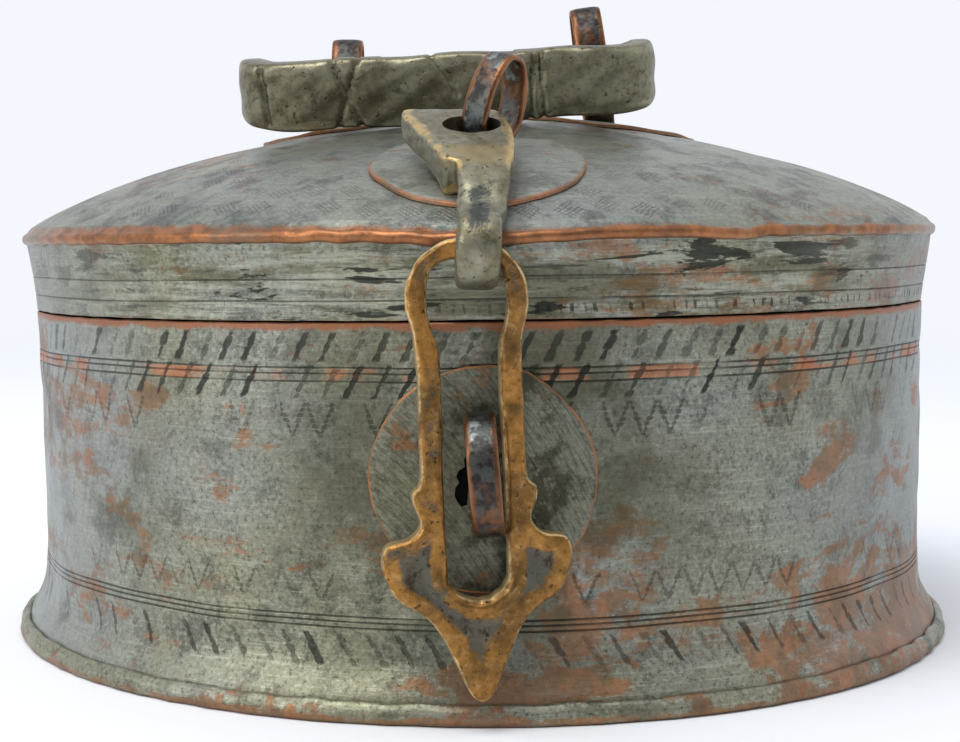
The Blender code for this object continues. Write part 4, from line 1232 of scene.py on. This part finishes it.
def make_wall_fittings(strap, wall_washer):
    disc = make_washer("staple_disc", "body_staple_washer", on_wall(STAPLE_Z), "box", wall_washer, 61)
    ragged = [
        # (x, z) round the torn slot beside the staple
        (-0.0030, 0.0502),
        (-0.0036, 0.0494),
        (-0.0034, 0.0480),
        (-0.0046, 0.0472),
        (-0.0050, 0.0462),
        (-0.0045, 0.0450),
        (-0.0052, 0.0440),
        (-0.0053, 0.0424),
        (-0.0047, 0.0412),
        (-0.0040, 0.0405),
        (-0.0030, 0.0408),
        (-0.0026, 0.0450),
    ]
    count = len(ragged)
    corners = [(x, y, z) for y in (-0.112, -0.098) for x, z in ragged]
    walls = [(i, (i + 1) % count, (i + 1) % count + count, i + count) for i in range(count)]
    caps = [tuple(range(count))[::-1], tuple(range(count, 2 * count))]
    cut_away(disc, "staple_slot", corners, walls + caps)
    inner = -(float(wall_r(STAPLE_Z)) + GAP)
    place = (
        Matrix.Translation((0.0002, inner - WASHER_T, 0.0475))
        @ Matrix.Rotation(STAPLE_LEAN, 4, "Y")
        @ Matrix.Rotation(math.radians(90), 4, "X")
    )
    make_eye("staple_strap", "body_staple", place, "box", strap, 0.0165, 0.0115, 0.0046, STRAP_W)


def dress_node(node, material):
    """A CAD solid that keeps its shape and takes a finished material."""
    data = frame["nodes"][node].data
    data.materials.clear()
    data.materials.append(material)


def make_studio():
    pale = srgb(244, 247, 253)
    bpy.ops.mesh.primitive_circle_add(vertices=96, radius=40.0, fill_type="NGON", location=(0, 0, -0.0001))
    floor = bpy.context.object
    floor.name = "studio_floor"
    g = Graph("studio_floor")
    distance = (g.x * g.x + g.y * g.y).call("SQRT")
    far = distance.smooth(0.35, 1.5)
    grain = g.noise(3.0, 2, 0.5)
    near = g.mix(grain, srgb(240, 242, 246), srgb(244, 246, 250))
    g.join((*pale, 1.0), g.shader.inputs["Emission Color"])
    g.join(far, g.shader.inputs["Emission Strength"])
    floor.data.materials.append(g.finish(g.mix(far, near, (0, 0, 0)), 0.6, 0.0, 0.0, 0.0))
    bpy.ops.mesh.primitive_plane_add(size=1.0, location=(0, -1.3, 0.75))
    card = bpy.context.object
    card.name = "studio_card"
    card.rotation_euler = (math.radians(90), 0, 0)
    card.scale = (3.2, 1.5, 1.0)
    g = Graph("studio_card")
    grey = g.mix(0.5, srgb(150, 150, 150), srgb(160, 160, 160))
    card.data.materials.append(g.finish(grey, 0.9, 0.0, 0.0, 0.0))
    world = bpy.data.worlds.new("studio")
    world.use_nodes = True
    world.node_tree.nodes["Background"].inputs["Color"].default_value = (*pale, 1.0)
    world.node_tree.nodes["Background"].inputs["Strength"].default_value = 1.0
    bpy.context.scene.world = world
    for name, place, size, power, tint in (
        ("softbox_above", (-0.30, -0.45, 1.10), 0.6, 6.0, (1.0, 0.99, 0.97)),
        ("softbox_left", (-0.95, -0.75, 0.60), 0.5, 4.0, (1.0, 1.0, 1.0)),
    ):
        lamp = bpy.data.lights.new(name, "AREA")
        lamp.size = size
        lamp.energy = power
        lamp.color = tint
        holder = bpy.data.objects.new(name, lamp)
        holder.location = place
        aim = Vector((0, 0, 0.06)) - Vector(place)
        holder.rotation_euler = aim.to_track_quat("-Z", "Y").to_euler()
        bpy.context.scene.collection.objects.link(holder)


def make_camera():
    lens = bpy.data.cameras.new("camera")
    lens.sensor_width = 36.0
    lens.lens = CAMERA_LENS_MM
    holder = bpy.data.objects.new("camera", lens)
    holder.location = CAMERA_PLACE
    holder.rotation_euler = (math.radians(90) - CAMERA_PITCH, 0, 0)
    bpy.context.scene.collection.objects.link(holder)
    bpy.context.scene.camera = holder


BRASS_HASP = brass_material(
    "cast_brass_hasp",
    body=srgb(166, 118, 58),
    deep=srgb(118, 86, 46),
    dark=srgb(88, 92, 84),
    dark_share=0.52,
    pale=srgb(216, 190, 140),
    patch_scale=75,
    rub=0.85,
    sunk=0.24,
)
BRASS_LINK = brass_material(
    "cast_brass_link",
    body=srgb(138, 136, 118),
    deep=srgb(112, 106, 82),
    dark=srgb(58, 64, 66),
    dark_share=0.56,
    pale=srgb(200, 172, 116),
    patch_scale=80,
    rub=0.80,
    sunk=0.22,
)
BRASS_HANDLE = brass_material(
    "cast_brass_handle",
    body=srgb(124, 120, 98),
    deep=srgb(98, 92, 72),
    dark=srgb(66, 68, 60),
    dark_share=0.54,
    pale=srgb(168, 164, 142),
    patch_scale=90,
    rub=0.45,
    sunk=0.03,
)
STRAP = strap_material()
INSIDE = inside_material()
make_wall(wall_material())
make_collar(collar_material())
make_dome(dome_material())
make_foot(foot_material())
make_neck(INSIDE)
for NODE in sorted(frame["nodes"]):
    if NODE.startswith("spice_cup"):
        make_cup(NODE, INSIDE)
LID_DISC = washer_material("tinned_disc_lid", srgb(150, 152, 146), srgb(104, 106, 100), 0.2, 0.35)
make_lid_fittings(STRAP, LID_DISC)
WALL_DISC = washer_material("tinned_disc_wall", srgb(90, 88, 66), srgb(50, 50, 36), -0.6, 0.74)
make_wall_fittings(STRAP, WALL_DISC)
make_link(BRASS_LINK)
make_hasp(BRASS_HASP)
make_handle(BRASS_HANDLE)
HINGE = hinge_material("tarnished_leaf", srgb(118, 98, 76), srgb(98, 102, 92))
RIVET = hinge_material("copper_rivet", srgb(168, 104, 74), srgb(140, 92, 68))
for NODE in sorted(frame["nodes"]):
    if NODE.startswith("hinge"):
        dress_node(NODE, RIVET if "rivet" in NODE or "pin" in NODE else HINGE)
make_studio()
make_camera()
bpy.context.scene.view_settings.view_transform = "Standard"
